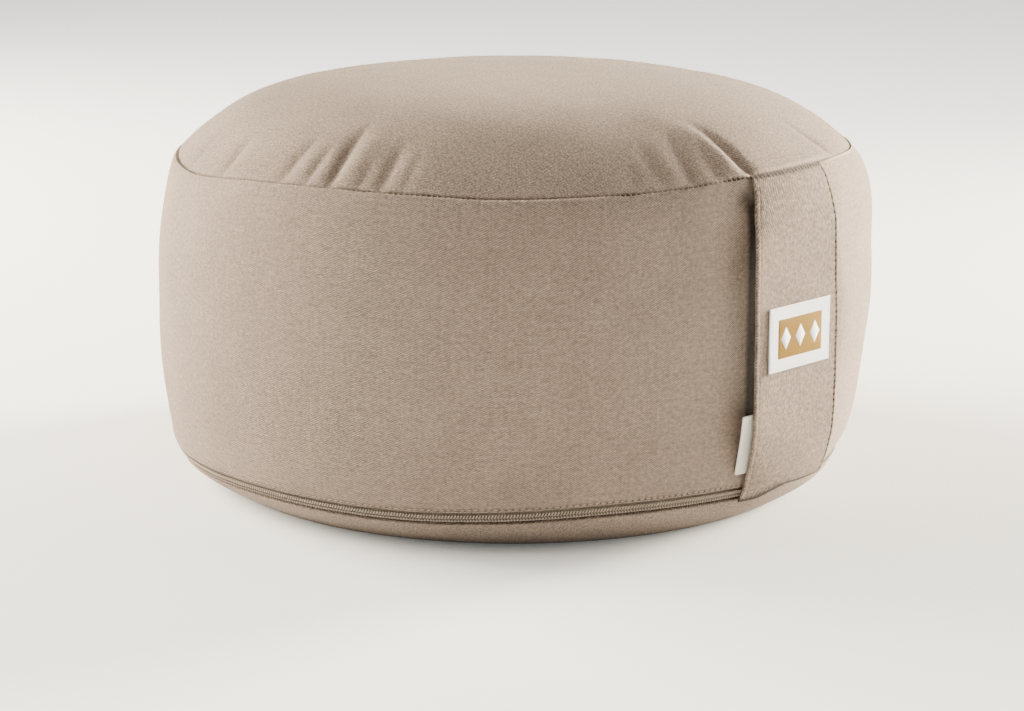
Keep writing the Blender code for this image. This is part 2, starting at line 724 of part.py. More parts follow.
def make_zip_coil(finish: bpy.types.Material) -> bpy.types.Object:
    """The closed coil: a broad upper row and a narrower lower one, with the join between them."""
    low, high = zip_span()
    section = [(low + (high - low) * point.share, point.depth) for point in COIL_SECTION]
    return make_zip_strip("zip_coil", lambda bearing: section, finish)


def main() -> None:
    """Clears the scene and makes the six pieces."""
    for old in list(bpy.data.objects):
        bpy.data.objects.remove(old, do_unlink=True)
    cover = cloth_material("cover_cloth", (0.47, 0.39, 0.32), 0.95)
    webbing = cloth_material("strap_cloth", (0.46, 0.39, 0.33), 0.95)
    label = cloth_material("label_cloth", (0.75, 0.71, 0.73), 0.8)
    ribbon = cloth_material("tag_ribbon", (0.85, 0.82, 0.78), 0.7)
    tape = cloth_material("zip_tape_cloth", (0.27, 0.22, 0.18), 0.9)
    coil = cloth_material("zip_coil_nylon", (0.47, 0.40, 0.34), 0.5)
    make_cushion_body(cover)
    make_handle_strap(webbing)
    make_label_patch(label)
    make_side_tag(ribbon)
    make_zip_tape(tape)
    make_zip_coil(coil)


main()
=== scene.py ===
"""The looks of a drum-shaped meditation cushion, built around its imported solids.

A bearing is an angle about +Z in degrees, counted from the carrying strap on the +X side and growing
anticlockwise seen from above. Sizes are in millimetres unless a name says otherwise. Meshes are made in
metres, in the frame's own axes.
"""

import logging
import math
from dataclasses import dataclass
from enum import Enum
from typing import Callable, ClassVar, NamedTuple, Sequence

import bpy
import numpy as np
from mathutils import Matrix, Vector, noise


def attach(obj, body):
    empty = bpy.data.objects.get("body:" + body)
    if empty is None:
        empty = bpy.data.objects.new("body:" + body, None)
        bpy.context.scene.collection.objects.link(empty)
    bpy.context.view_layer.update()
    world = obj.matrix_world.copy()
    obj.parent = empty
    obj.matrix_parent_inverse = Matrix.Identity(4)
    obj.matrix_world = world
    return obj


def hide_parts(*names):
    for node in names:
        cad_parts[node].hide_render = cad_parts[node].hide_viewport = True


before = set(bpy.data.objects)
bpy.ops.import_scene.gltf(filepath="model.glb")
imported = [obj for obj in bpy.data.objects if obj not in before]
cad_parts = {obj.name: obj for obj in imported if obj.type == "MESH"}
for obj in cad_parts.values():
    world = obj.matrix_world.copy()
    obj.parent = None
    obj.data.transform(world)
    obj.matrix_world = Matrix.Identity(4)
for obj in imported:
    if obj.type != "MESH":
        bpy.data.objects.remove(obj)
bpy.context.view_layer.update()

LOG = logging.getLogger("cushion")
BODY = "root"
CLOTH_UV = "cloth"  # the map that holds a piece's own cloth coordinates, in metres
PAINTED_SHADE_AND_HIGHLIGHT = "hollow"  # painted shade and highlight of a vertex: 1 for painted shade deep in a seam, 0 on open cloth, -1 for a painted highlight on a raised line
MM = 0.001
FULL_TURN = 360.0
FAR = 99.0  # a distance that stands for nowhere near
HEM_LINE = 1.3  # how far above the lip the band's hem is stitched
Array = np.ndarray
Socket = bpy.types.NodeSocket
Faces = list[list[int]]
Numbers = tuple[float, ...]
Pairs = tuple[tuple[float, float], ...]


# ---------------------------------------------------------------- curves
def smooth(value: Array) -> Array:
    """An S-shaped step from 0 to 1, flat outside."""
    t = np.clip(value, 0.0, 1.0)
    return t * t * (3.0 - 2.0 * t)


def bell(value: Array) -> Array:
    """A bell-shaped weight, 1 at zero."""
    return np.exp(-np.square(value))


def through(xs: Array, ys: Array, x: Array) -> Array:
    """A smooth curve through points.

    Args:
        xs: the points' places, rising.
        ys: the points' values.
        x: the places to read, within the points.

    Returns:
        The curve's values at x.
    """
    slopes = np.empty(len(ys))
    slopes[1:-1] = (ys[2:] - ys[:-2]) / (xs[2:] - xs[:-2])
    slopes[0] = (ys[1] - ys[0]) / (xs[1] - xs[0])
    slopes[-1] = (ys[-1] - ys[-2]) / (xs[-1] - xs[-2])
    spot = np.clip(np.searchsorted(xs, x, side="right") - 1, 0, len(xs) - 2)
    width = xs[spot + 1] - xs[spot]
    t = np.clip((x - xs[spot]) / width, 0.0, 1.0)
    rest = 1.0 - t
    return (
        ys[spot] * smooth(rest)
        + ys[spot + 1] * smooth(t)
        + width * (slopes[spot] * t * rest * rest - slopes[spot + 1] * t * t * rest)
    )


def pulse(turns: Array) -> Array:
    """1 at each whole number of turns, 0 half-way between two, as stitches come round."""
    return (0.5 + 0.5 * np.cos(2.0 * np.pi * turns)) ** 2


def around(rows: Sequence[NamedTuple], column: str, bearing: Array) -> Array:
    """A table's column at bearings, on a smooth curve that closes on itself after a full turn.

    Args:
        rows: the table, each row with a bearing.
        column: the name of the column to read.
        bearing: where to read it, in degrees.

    Returns:
        The column's values.
    """
    ordered = sorted(rows, key=lambda row: row.bearing)
    places = np.array([row.bearing for row in ordered])
    values = np.array([getattr(row, column) for row in ordered])
    ring = np.concatenate([places - FULL_TURN, places, places + FULL_TURN])
    return through(ring, np.tile(values, 3), turned(bearing))


def turned(bearing: Array) -> Array:
    """The same bearing within half a turn of the strap."""
    return (np.asarray(bearing, float) + 180.0) % FULL_TURN - 180.0


def ripples(points: Array, wavelength: float, seed: float) -> Array:
    """Soft noise from -1 to 1 over points.

    Args:
        points: places in metres, one a row.
        wavelength: the size of its swells in millimetres.
        seed: picks one noise of many.

    Returns:
        One value a point.
    """
    scale = 1.0 / (wavelength * MM)
    shift = Vector((seed, 2.0 * seed, -seed))
    return np.array([noise.noise(Vector(point) * scale + shift) for point in points])


def polar(bearing: Array, radius: Array, height: Array) -> Array:
    """Points in metres from bearings in degrees and sizes in millimetres."""
    angle = np.radians(bearing)
    return np.stack([radius * np.cos(angle), radius * np.sin(angle), height + 0.0 * angle], axis=-1) * MM


# ---------------------------------------------------------------- tables of the cushion's own unevenness
class SeamWaver(NamedTuple):
    """How a seam strays from its level circle at one bearing."""

    bearing: float
    lift: float
    out: float


class SeamLook(NamedTuple):
    """How the top seam shows at one bearing, each from 0 to 1."""

    bearing: float
    dark: float  # how far it gapes, and how dark its painted shade is
    ridge: float  # the fine ridge on the band just below it, with its painted highlight
    roll: float  # the roll of the top panel just above it, with its painted highlight


class BodyForm(NamedTuple):
    """How much fuller the cushion is at one bearing: low, half-way and high on its wall, and on its crown."""

    bearing: float
    foot: float
    belly: float
    head: float
    shoulder: float


class Pucker(NamedTuple):
    """A valley in the top panel that runs from the seam towards the crown."""

    bearing: float
    sway: float  # degrees that its crown end lies from its seam end
    depth: float
    width: float
    reach: float
    ridge: float  # side and share of the roll beside the valley: negative is at the lower bearing


class Dimple(NamedTuple):
    """A shallow hollow in the wall."""

    bearing: float
    height: float
    depth: float
    half_width: float
    half_height: float


class StrapRow(NamedTuple):
    """One section of the strap, by its height as a share of the band."""

    share: float
    gap: float  # between the wall and the strap's inner face
    centre_y: float
    half_width: float
    curl: float  # 1 follows the round wall across its width, 0 is flat


TOP_SEAM = tuple(map(SeamWaver._make, (
    (-127.0, -4.3, 0.0), (-110.0, -5.0, 0.0), (-100.0, -3.0, 0.0), (-90.0, -0.8, 0.0), (-78.0, 0.3, 0.0),
    (-60.0, 0.0, 0.0), (-48.0, -1.3, 0.0), (-34.0, -0.6, 0.0), (-21.0, 0.4, 0.0), (-11.0, 2.6, 1.6),
    (0.0, 3.2, 2.2), (9.0, 3.4, 1.6), (20.0, 2.6, 0.0), (38.0, 0.0, 0.0), (80.0, -1.0, 0.0),
    (130.0, 1.0, 0.0), (180.0, -1.0, 0.0),
)))
LOWER_SEAM = tuple(map(SeamWaver._make, (
    (-134.0, -3.6, 0.0), (-116.0, -3.8, 0.0), (-104.0, -2.8, 0.0), (-90.0, -1.7, 0.0), (-62.0, -1.8, 0.0),
    (-47.0, -0.3, 0.0), (-30.0, 1.6, 0.0), (-10.0, 1.2, 0.0), (10.0, -1.0, 0.0), (25.0, -2.5, -5.0),
    (45.0, -2.0, -7.5), (90.0, 0.0, -3.0), (135.0, 1.0, 0.0), (180.0, -1.0, 1.0),
)))
TOP_SEAM_LOOK = tuple(map(SeamLook._make, (
    (-127.0, 0.90, 0.2, 0.1), (-112.0, 0.60, 0.2, 0.1), (-98.0, 0.45, 0.2, 0.1), (-84.0, 0.40, 0.3, 0.1),
    (-72.0, 0.50, 0.3, 0.1), (-60.0, 0.72, 0.4, 0.2), (-50.0, 0.66, 0.9, 0.2), (-41.0, 0.55, 1.0, 0.2),
    (-33.0, 0.35, 0.8, 0.1), (-27.5, 0.85, 0.2, 0.1), (-22.5, 0.40, 0.2, 0.1), (-17.0, 0.75, 0.1, 0.2),
    (-11.0, 0.90, 0.1, 0.3), (-2.0, 1.00, 0.2, 0.9), (9.0, 0.95, 0.2, 1.0), (17.0, 0.25, 0.7, 0.4),
    (27.0, 0.08, 1.0, 0.2), (42.0, 0.12, 0.8, 0.2), (56.0, 0.50, 0.4, 0.2), (90.0, 0.75, 0.3, 0.2),
    (140.0, 0.50, 0.4, 0.3), (180.0, 0.80, 0.3, 0.1),
)))
BODY_FORM = tuple(map(BodyForm._make, (
    (-127.0, -1.0, -2.2, -1.0, 1.6), (-80.0, 0.0, -0.8, 0.0, 0.4), (-40.0, 0.0, 0.0, 0.0, 0.0),
    (0.0, 0.0, 0.5, 0.5, 0.0), (37.0, 2.4, 3.0, 3.4, 0.0), (90.0, 0.5, 0.8, 1.0, 0.0),
    (160.0, 0.5, -0.8, 0.0, 1.0),
)))
PUCKERS = tuple(map(Pucker._make, (
    (-113.0, -3.5, 1.0, 4.5, 24.0, 0.5), (-99.5, -2.8, 1.6, 5.0, 28.0, 0.4),
    (-84.3, 0.3, 1.6, 4.5, 30.0, 0.5), (-79.4, 0.2, 1.6, 3.6, 26.0, 0.5),
    (-74.9, -0.9, 3.0, 4.2, 42.0, 0.7), (-69.6, 0.3, 1.2, 3.2, 18.0, 0.4),
    (-66.1, 0.8, 2.2, 4.8, 32.0, 0.5), (-62.3, 1.2, 1.0, 4.0, 26.0, 0.4),
    (-25.6, -0.6, 0.8, 4.0, 20.0, -0.4), (-21.4, -0.3, 1.4, 4.5, 28.0, -0.5),
    (-16.6, 1.8, 2.2, 5.2, 34.0, -0.6), (-11.8, 1.4, 1.6, 5.0, 28.0, -0.3),
    (-5.8, -2.2, 3.0, 3.6, 40.0, -0.9), (19.7, -2.1, 1.8, 4.0, 30.0, -0.5),
    (44.0, 1.0, 1.5, 5.0, 28.0, 0.5), (62.0, -1.0, 2.2, 5.0, 36.0, -0.5), (71.0, 1.5, 1.4, 4.5, 26.0, 0.4),
    (98.0, 0.5, 2.6, 5.0, 40.0, 0.6), (106.0, -1.0, 1.3, 4.5, 26.0, -0.4),
    (133.0, 1.5, 1.8, 5.0, 32.0, 0.5), (151.0, -1.0, 2.4, 5.0, 36.0, -0.6),
    (176.0, 1.0, 1.6, 4.5, 30.0, 0.5), (-164.0, -1.5, 2.0, 5.0, 34.0, -0.5),
    (-141.0, 1.0, 1.5, 4.5, 28.0, 0.5),
)))
DIMPLES = (
    Dimple(-12.0, 151.0, 2.0, 9.0, 11.0),
    Dimple(11.5, 152.0, 0.8, 7.0, 10.0),
)
STRAP_ROWS = tuple(map(StrapRow._make, (
    (0.000, 0.70, 5.0, 29.0, 1.0), (0.040, 1.20, 3.5, 29.0, 0.9), (0.130, 2.90, 0.8, 29.0, 0.5),
    (0.260, 4.60, -0.8, 29.2, 0.1), (0.500, 4.60, -0.8, 29.3, 0.0), (0.780, 4.60, -2.0, 28.4, 0.35),
    (0.880, 2.70, 1.0, 27.6, 0.8), (0.960, 0.90, 4.8, 26.6, 1.0), (1.000, 0.45, 6.5, 26.5, 1.0),
)))


# ---------------------------------------------------------------- node trees
class ShaderTree:
    """A material's node tree, written as short calls."""

    def __init__(self, name: str) -> None:
        """Starts a material of that name with a Principled BSDF.

        Args:
            name: the material's name.
        """
        self.material = bpy.data.materials.new(name)
        self.material.use_nodes = True
        self.tree = self.material.node_tree
        self.shader = self.tree.nodes["Principled BSDF"]

    def node(self, kind: str, **settings: object) -> bpy.types.Node:
        """A new node of a kind, with its settings.

        Args:
            kind: the node's type name.
            settings: its properties by name.

        Returns:
            The node.
        """
        made = self.tree.nodes.new(kind)
        for key, value in settings.items():
            setattr(made, key, value)
        return made

    def feed(self, socket: Socket, value: object) -> None:
        """Puts a value or another node's output into a socket.

        Args:
            socket: the socket to fill.
            value: what goes in.
        """
        if isinstance(value, Socket):
            self.tree.links.new(value, socket)
        else:
            socket.default_value = value

    def math(self, operation: str, *values: object) -> Socket:
        """The result of a Math node on up to three values.

        Args:
            operation: the node's operation.
            values: its inputs in order.

        Returns:
            The result.
        """
        made = self.node("ShaderNodeMath", operation=operation)
        for socket, value in zip(made.inputs, values):
            self.feed(socket, value)
        return made.outputs[0]

    def times(self, first: object, *others: object) -> Socket:
        """The product of values.

        Args:
            first: a value.
            others: the values to multiply it by.

        Returns:
            The product.
        """
        for other in others:
            first = self.math("MULTIPLY", first, other)
        return first

    def wave(self, value: object, pitch: float) -> Socket:
        """A sine wave over a value in metres, its pitch in millimetres."""
        return self.math("SINE", self.times(value, 2.0 * math.pi / (pitch * MM)))

    def cell(self, value: object, size: float) -> Socket:
        """The number of the cell of a size that a value falls in."""
        return self.math("FLOOR", self.math("DIVIDE", value, size))

    def blend(self, share: object, first: object, second: object) -> Socket:
        """A colour between two, by a share.

        Args:
            share: 0 for the first and 1 for the second.
            first: a colour.
            second: the other colour.

        Returns:
            The colour.
        """
        made = self.node("ShaderNodeMix", data_type="RGBA")
        for key, value in (("Factor", share), ("A", first), ("B", second)):
            self.feed(made.inputs[key], value)
        return made.outputs["Result"]

    def scaled(self, colour: object, light: object) -> Socket:
        """A colour made lighter or darker by a factor.

        Args:
            colour: the colour.
            light: the factor.

        Returns:
            The colour.
        """
        made = self.node("ShaderNodeVectorMath", operation="SCALE")
        self.feed(made.inputs[0], colour)
        self.feed(made.inputs["Scale"], light)
        return made.outputs[0]

    def ramp(
        self, value: object, low: float, high: float, to_low: float, to_high: float, **settings: str
    ) -> Socket:
        """A value moved from one range to another, held at its ends.

        Args:
            value: the value.
            low: the first range's start.
            high: its end.
            to_low: the second range's start.
            to_high: its end.
            settings: the node's properties by name.

        Returns:
            The moved value.
        """
        made = self.node("ShaderNodeMapRange", **settings)
        for socket, number in zip(made.inputs, (value, low, high, to_low, to_high)):
            self.feed(socket, number)
        return made.outputs[0]

    def tint(self, value: object, amount: float, low: float = 0.0, high: float = 1.0) -> Socket:
        """A value between low and high as a shade around 1, darker or lighter by an amount."""
        return self.ramp(value, low, high, 1.0 - amount, 1.0 + amount)

    def noise(self, place: object, scale: float, detail: float = 2.0) -> Socket:
        """Noise from 0 to 1 at a place.

        Args:
            place: where to read it.
            scale: its swells a metre.
            detail: how many finer layers it has.

        Returns:
            The noise.
        """
        made = self.node("ShaderNodeTexNoise")
        self.feed(made.inputs["Vector"], place)
        made.inputs["Scale"].default_value = scale
        made.inputs["Detail"].default_value = detail
        return made.outputs["Fac"]

    def speck(self, x: object, y: object) -> Socket:
        """A random value from 0 to 1 for each pair of whole numbers.

        Args:
            x: the first number.
            y: the second number.

        Returns:
            The random value.
        """
        joined = self.node("ShaderNodeCombineXYZ")
        self.feed(joined.inputs["X"], x)
        self.feed(joined.inputs["Y"], y)
        made = self.node("ShaderNodeTexWhiteNoise", noise_dimensions="3D")
        self.feed(made.inputs["Vector"], joined.outputs[0])
        return made.outputs["Value"]

    def place(self) -> Socket:
        """The point's own place on the object, in metres."""
        return self.node("ShaderNodeTexCoord").outputs["Object"]

    def cloth_place(self) -> tuple[Socket, Socket, Socket]:
        """The point's place in its cloth, in metres.

        Returns:
            (across, along, both as a vector).
        """
        spot = self.node("ShaderNodeUVMap", uv_map=CLOTH_UV).outputs[0]
        parts = self.node("ShaderNodeSeparateXYZ")
        self.feed(parts.inputs[0], spot)
        return parts.outputs["X"], parts.outputs["Y"], spot

    def painted_shade_and_highlight(self, darkest: float, lightest: float = 1.75) -> Socket:
        """A factor on the colour: 1 on open cloth, painted shade deep in a seam and a painted highlight on a
        raised line.
        """
        deep = self.node("ShaderNodeAttribute", attribute_name=PAINTED_SHADE_AND_HIGHLIGHT).outputs["Fac"]
        raised = self.ramp(deep, -1.0, 0.0, lightest, 1.0)
        return self.times(raised, self.ramp(deep, 0.0, 1.0, 1.0, darkest))

    def levelness(self) -> Socket:
        """0 on an upright surface, 1 on a level one.

        Returns:
            The levelness.
        """
        parts = self.node("ShaderNodeSeparateXYZ")
        self.feed(parts.inputs[0], self.node("ShaderNodeNewGeometry").outputs["Normal"])
        return self.ramp(self.math("ABSOLUTE", parts.outputs["Z"]), 0.3, 0.8, 0.0, 1.0)

    def relief(self, height: Socket, depth: float) -> None:
        """Bumps the surface by a height from 0 to 1, its reach being in millimetres.

        Args:
            height: the height.
            depth: its reach.
        """
        made = self.node("ShaderNodeBump")
        made.inputs["Strength"].default_value = 1.0
        made.inputs["Distance"].default_value = depth * MM
        self.feed(made.inputs["Height"], height)
        self.feed(self.shader.inputs["Normal"], made.outputs[0])

    def surface(self, colour: object, roughness: object, **numbers: float) -> bpy.types.Material:
        """Feeds the shader's colour and roughness and sets its other sockets by name.

        Args:
            colour: the base colour.
            roughness: the roughness.
            numbers: other values by socket name.

        Returns:
            The material.
        """
        self.feed(self.shader.inputs["Base Color"], colour)
        self.feed(self.shader.inputs["Roughness"], roughness)
        for key, value in numbers.items():
            self.shader.inputs[key.replace("_", " ")].default_value = value
        return self.material


def opaque(colour: Sequence[float], shade: float = 1.0) -> tuple[float, float, float, float]:
    """A colour with full alpha, made darker or lighter by shade."""
    return (*(min(1.0, part * shade) for part in colour), 1.0)


# ---------------------------------------------------------------- finishes
class Grain(Enum):
    """Which way a piece's warp runs in its cloth coordinates."""

    ACROSS = "warp along the first coordinate"
    ALONG = "warp along the second coordinate"


@dataclass(frozen=True)
class TwillCloth:
    """Cotton twill: warp floats over two picks, each row one pick further, so fine diagonals rise."""

    name: str
    colour: tuple[float, float, float]
    grain: Grain = Grain.ACROSS
    warp_pitch: float = 0.33  # distance between two warp yarns
    weft_pitch: float = 0.62  # and between two weft yarns
    weft_shade: float = 0.76
    crevice: float = 0.58  # shade between two yarns
    float_tint: float = 0.11  # each float's own light and dark
    yarn_tint: float = 0.045  # and that of a longer run of its yarn
    slub: float = 0.20  # light and dark a few yarns wide
    nap: float = 2.3  # that of the raised fibres on level cloth
    wall_nap: float = 0.3  # and the share of it that upright cloth shows
    mottle: float = 0.05
    nep: float = 0.78  # the shade of the sparse specks in the yarn
    # the colour's factor at the deepest painted shade in a seam
    seam_shade: float = 0.16
    relief: float = 0.14
    roughness: float = 0.92

    def material(self) -> bpy.types.Material:
        """The cloth as a material that reads the piece's cloth coordinates.

        Returns:
            The material.
        """
        tree = ShaderTree(self.name)
        across, along, spot = tree.cloth_place()
        if self.grain is Grain.ALONG:
            across, along = along, across
        picks = tree.math("DIVIDE", across, self.weft_pitch * MM)
        ends = tree.math("DIVIDE", along, self.warp_pitch * MM)
        pick, end = tree.math("FLOOR", picks), tree.math("FLOOR", ends)
        lag = tree.math("SUBTRACT", pick, end)
        phase = tree.math("FLOORED_MODULO", lag, 3.0)
        on_weft = tree.math("LESS_THAN", phase, 0.5)
        height = self.height(tree, picks, ends, phase, on_weft)
        nap = tree.times(tree.math("SUBTRACT", tree.noise(spot, 1150.0), 0.5), self.nap)
        nap = tree.times(nap, tree.ramp(tree.levelness(), 0.0, 1.0, self.wall_nap, 1.0))
        light = tree.times(
            tree.painted_shade_and_highlight(self.seam_shade),
            tree.ramp(tree.noise(spot, 640.0, 0.0), 0.76, 0.84, 1.0, self.nep),
            tree.tint(tree.speck(end, tree.cell(lag, 3.0)), self.float_tint),
            tree.tint(tree.speck(end, tree.cell(pick, 23.0)), self.yarn_tint),
            tree.tint(tree.speck(pick, tree.cell(end, 31.0)), self.yarn_tint),
            tree.tint(tree.noise(spot, 520.0, 3.0), self.slub, 0.28, 0.72),
            tree.math("ADD", nap, 1.0),
            tree.tint(tree.noise(spot, 45.0), self.mottle, 0.3, 0.7),
            tree.ramp(height, 0.0, 0.8, self.crevice, 1.12),
        )
        yarn = tree.blend(on_weft, opaque(self.colour), opaque(self.colour, self.weft_shade))
        tree.relief(height, self.relief)
        rough = tree.ramp(tree.noise(spot, 900.0), 0.0, 1.0, self.roughness - 0.06, self.roughness + 0.06)
        return tree.surface(
            tree.scaled(yarn, light), rough, Sheen_Weight=0.05, Sheen_Roughness=0.5, Specular_IOR_Level=0.15
        )

    def height(self, tree: ShaderTree, picks: Socket, ends: Socket, phase: Socket, on_weft: Socket) -> Socket:
        """Height of the yarns from 0 to 1.

        Args:
            tree: the node tree.
            picks: the place across, counted in weft yarns.
            ends: the place along, counted in warp yarns.
            phase: which of the three picks of the weave's repeat it is, 0 being the one over the warp.
            on_weft: 1 where the weft lies on top.

        Returns:
            The height: a warp float arches over two picks, and the weft lies low between two floats.
        """
        round_end = tree.math("SINE", tree.times(tree.math("FRACT", ends), math.pi))
        run = tree.times(tree.math("ADD", tree.math("SUBTRACT", phase, 1.0), tree.math("FRACT", picks)), 0.5)
        arch = tree.math("SINE", tree.times(run, math.pi))
        warp = tree.times(tree.math("POWER", round_end, 0.6), tree.ramp(arch, 0.0, 1.0, 0.35, 1.0))
        weft = tree.times(on_weft, tree.times(round_end, 0.35))
        return tree.math("ADD", weft, tree.times(tree.math("SUBTRACT", 1.0, on_weft), warp))


@dataclass(frozen=True)
class SewingThread:
    """Spun thread with a fine twist."""

    name: str
    colour: tuple[float, float, float]
    roughness: float = 0.75

    def material(self) -> bpy.types.Material:
        """The thread as a material that reads the point's place.

        Returns:
            The material.
        """
        tree = ShaderTree(self.name)
        fine = tree.noise(tree.place(), 5200.0, 1.0)
        coarse = tree.noise(tree.place(), 420.0, 1.0)
        shade = tree.math("ADD", tree.times(fine, 0.6), tree.times(coarse, 0.4))
        tree.relief(fine, 0.05)
        colour = tree.blend(shade, opaque(self.colour, 0.8), opaque(self.colour, 1.2))
        return tree.surface(colour, self.roughness, Sheen_Weight=0.2, Specular_IOR_Level=0.3)


@dataclass(frozen=True)
class WovenSatin:
    """A close satin weave of the label or the ribbon: fine lines across, with a soft gloss."""

    name: str
    colour: tuple[float, float, float]
    line_pitch: float = 0.28
    rib_pitch: float = 0.45
    relief: float = 0.05
    roughness: float = 0.55
    gloss: float = 0.45

    def material(self) -> bpy.types.Material:
        """The satin as a material that reads the piece's cloth coordinates.

        Returns:
            The material.
        """
        tree = ShaderTree(self.name)
        across, along, spot = tree.cloth_place()
        lines, ribs = tree.wave(along, self.line_pitch), tree.wave(across, self.rib_pitch)
        weave = tree.ramp(tree.math("ADD", lines, tree.times(ribs, 0.4)), -1.4, 1.4, 0.0, 1.0)
        own = tree.speck(tree.cell(along, self.line_pitch * MM), 0.0)
        unevenness = tree.math("ADD", tree.times(own, 0.2), tree.times(tree.noise(spot, 220.0), 0.3))
        shade = tree.math("ADD", tree.times(weave, 0.5), unevenness)
        tree.relief(weave, self.relief)
        colour = tree.blend(shade, opaque(self.colour, 0.88), opaque(self.colour, 1.1))
        rough = tree.ramp(weave, 0.0, 1.0, self.roughness + 0.12, self.roughness - 0.05)
        return tree.surface(colour, rough, Specular_IOR_Level=self.gloss)


@dataclass(frozen=True)
class CoilNylon:
    """Dyed nylon wire of the zip, a little glossy, with painted shade between its turns."""

    name: str
    colour: tuple[float, float, float]
    painted_shade_between_turns: float = 0.14  # the painted shade deep between the turns

    def material(self) -> bpy.types.Material:
        """The nylon as a material that reads the point's place.

        Returns:
            The material.
        """
        tree = ShaderTree(self.name)
        cloud = tree.noise(tree.place(), 300.0, 3.0)
        fine = tree.noise(tree.place(), 3000.0)
        tree.relief(fine, 0.02)
        light = tree.times(tree.ramp(cloud, 0.0, 1.0, 0.85, 1.12), tree.painted_shade_and_highlight(self.painted_shade_between_turns))
        rough = tree.ramp(fine, 0.3, 0.7, 0.4, 0.6)
        return tree.surface(tree.scaled(self.colour, light), rough, Specular_IOR_Level=0.35)


@dataclass(frozen=True)
class ZipTapeCloth:
    """The zip's tape: a herringbone of fine yarn."""

    name: str
    colour: tuple[float, float, float]
    column: float = 1.6  # width of one slope of its zigzag
    pitch: float = 0.45

    def material(self) -> bpy.types.Material:
        """The tape as a material that reads the piece's cloth coordinates.

        Returns:
            The material.
        """
        tree = ShaderTree(self.name)
        across, along, spot = tree.cloth_place()
        fold = tree.math("PINGPONG", along, self.column * MM)
        weave = tree.ramp(tree.wave(tree.math("ADD", across, fold), self.pitch), -1.0, 1.0, 0.0, 1.0)
        tree.relief(weave, 0.08)
        shade = tree.times(weave, tree.noise(spot, 500.0))
        colour = tree.blend(shade, opaque(self.colour, 0.75), opaque(self.colour, 1.3))
        return tree.surface(colour, 0.85, Sheen_Weight=0.15, Specular_IOR_Level=0.25)


@dataclass(frozen=True)
class StudioPaper:
    """The white floor, which glows as a light of its own, most of all away from the cushion: its weaker glow
    near the cushion paints a soft shadow round it.
    """

    name: str
    colour: tuple[float, float, float]
    glow: float = 1.27
    glow_colour: tuple[float, float, float] = (0.88, 1.0, 1.0)  # near the cushion; it is white far off
    near_m: float = 0.15  # up to here the glow is at its near share
    far_m: float = 1.3  # and from here on it is full
    # the glow's share near the cushion, a painted soft shadow there
    near_share: float = 0.07

    def material(self) -> bpy.types.Material:
        """The paper as a material that reads the point's place.

        Returns:
            The material.
        """
        tree = ShaderTree(self.name)
        place = tree.place()
        reach = tree.node("ShaderNodeVectorMath", operation="LENGTH")
        tree.feed(reach.inputs[0], place)
        far = reach.outputs["Value"]
        share = tree.ramp(far, self.near_m, self.far_m, self.near_share, 1.0, interpolation_type="SMOOTHSTEP")
        tree.feed(tree.shader.inputs["Emission Strength"], tree.times(share, self.glow))
        tree.feed(tree.shader.inputs["Emission Color"],
                  tree.blend(share, opaque(self.glow_colour), opaque((1.0, 1.0, 1.0))))
        colour = tree.blend(tree.noise(place, 3.0), opaque(self.colour, 0.99), opaque(self.colour, 1.01))
        return tree.surface(colour, 0.9, Specular_IOR_Level=0.1)


# ---------------------------------------------------------------- mesh making
def make_piece(
    name: str,
    points: Array,
    faces: Faces,
    finish: bpy.types.Material,
    uvs: Array | None = None,
    hollow: Array | None = None,
) -> bpy.types.Object:
    """A mesh object that rides on the cushion, dressed and shaded smooth.

    Args:
        name: the piece's name.
        points: its vertices in metres, one a row.
        faces: vertex numbers, a sequence for each face.
        finish: its material.
        uvs: cloth coordinates in metres, one a vertex or one a face corner.
        hollow: the painted shade and highlight of each vertex, from -1 for a painted highlight to 1 for the
            deepest painted shade.

    Returns:
        The object.
    """
    data = bpy.data.meshes.new(name)
    data.from_pydata(points.tolist(), [], faces)
    data.update()
    if uvs is not None:
        if len(uvs) == len(points):
            uvs = uvs[np.concatenate(faces)]
        layer = data.uv_layers.new(name=CLOTH_UV)
        layer.data.foreach_set("uv", np.asarray(uvs, np.float32).ravel())
    if hollow is not None:
        layer = data.attributes.new(PAINTED_SHADE_AND_HIGHLIGHT, "FLOAT", "POINT")
        layer.data.foreach_set("value", np.asarray(hollow, np.float32).ravel())
    data.materials.append(finish)
    data.shade_smooth()
    made = bpy.data.objects.new(name, data)
    bpy.context.scene.collection.objects.link(made)
    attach(made, BODY)
    return made


def lofted(rings: int, width: int, first: int = 0, flipped: bool = False) -> Faces:
    """The faces of a closed form through rings of vertices that follow one another.

    Args:
        rings: how many rings.
        width: how many vertices a ring has.
        first: the first ring's first vertex.
        flipped: whether a ring turns clockwise, seen from the last one.

    Returns:
        The faces between the rings, and then the two end caps.
    """
    last = first + (rings - 1) * width
    faces = []
    for low in range(first, last, width):
        for k in range(width):
            after = (k + 1) % width
            faces.append([low + k, low + after, low + width + after, low + width + k])
    faces += [list(range(first, first + width))[::-1], list(range(last, last + width))]
    if flipped:
        faces = [face[:1] + face[:0:-1] for face in faces[:-2]] + [face[::-1] for face in faces[-2:]]
    return faces


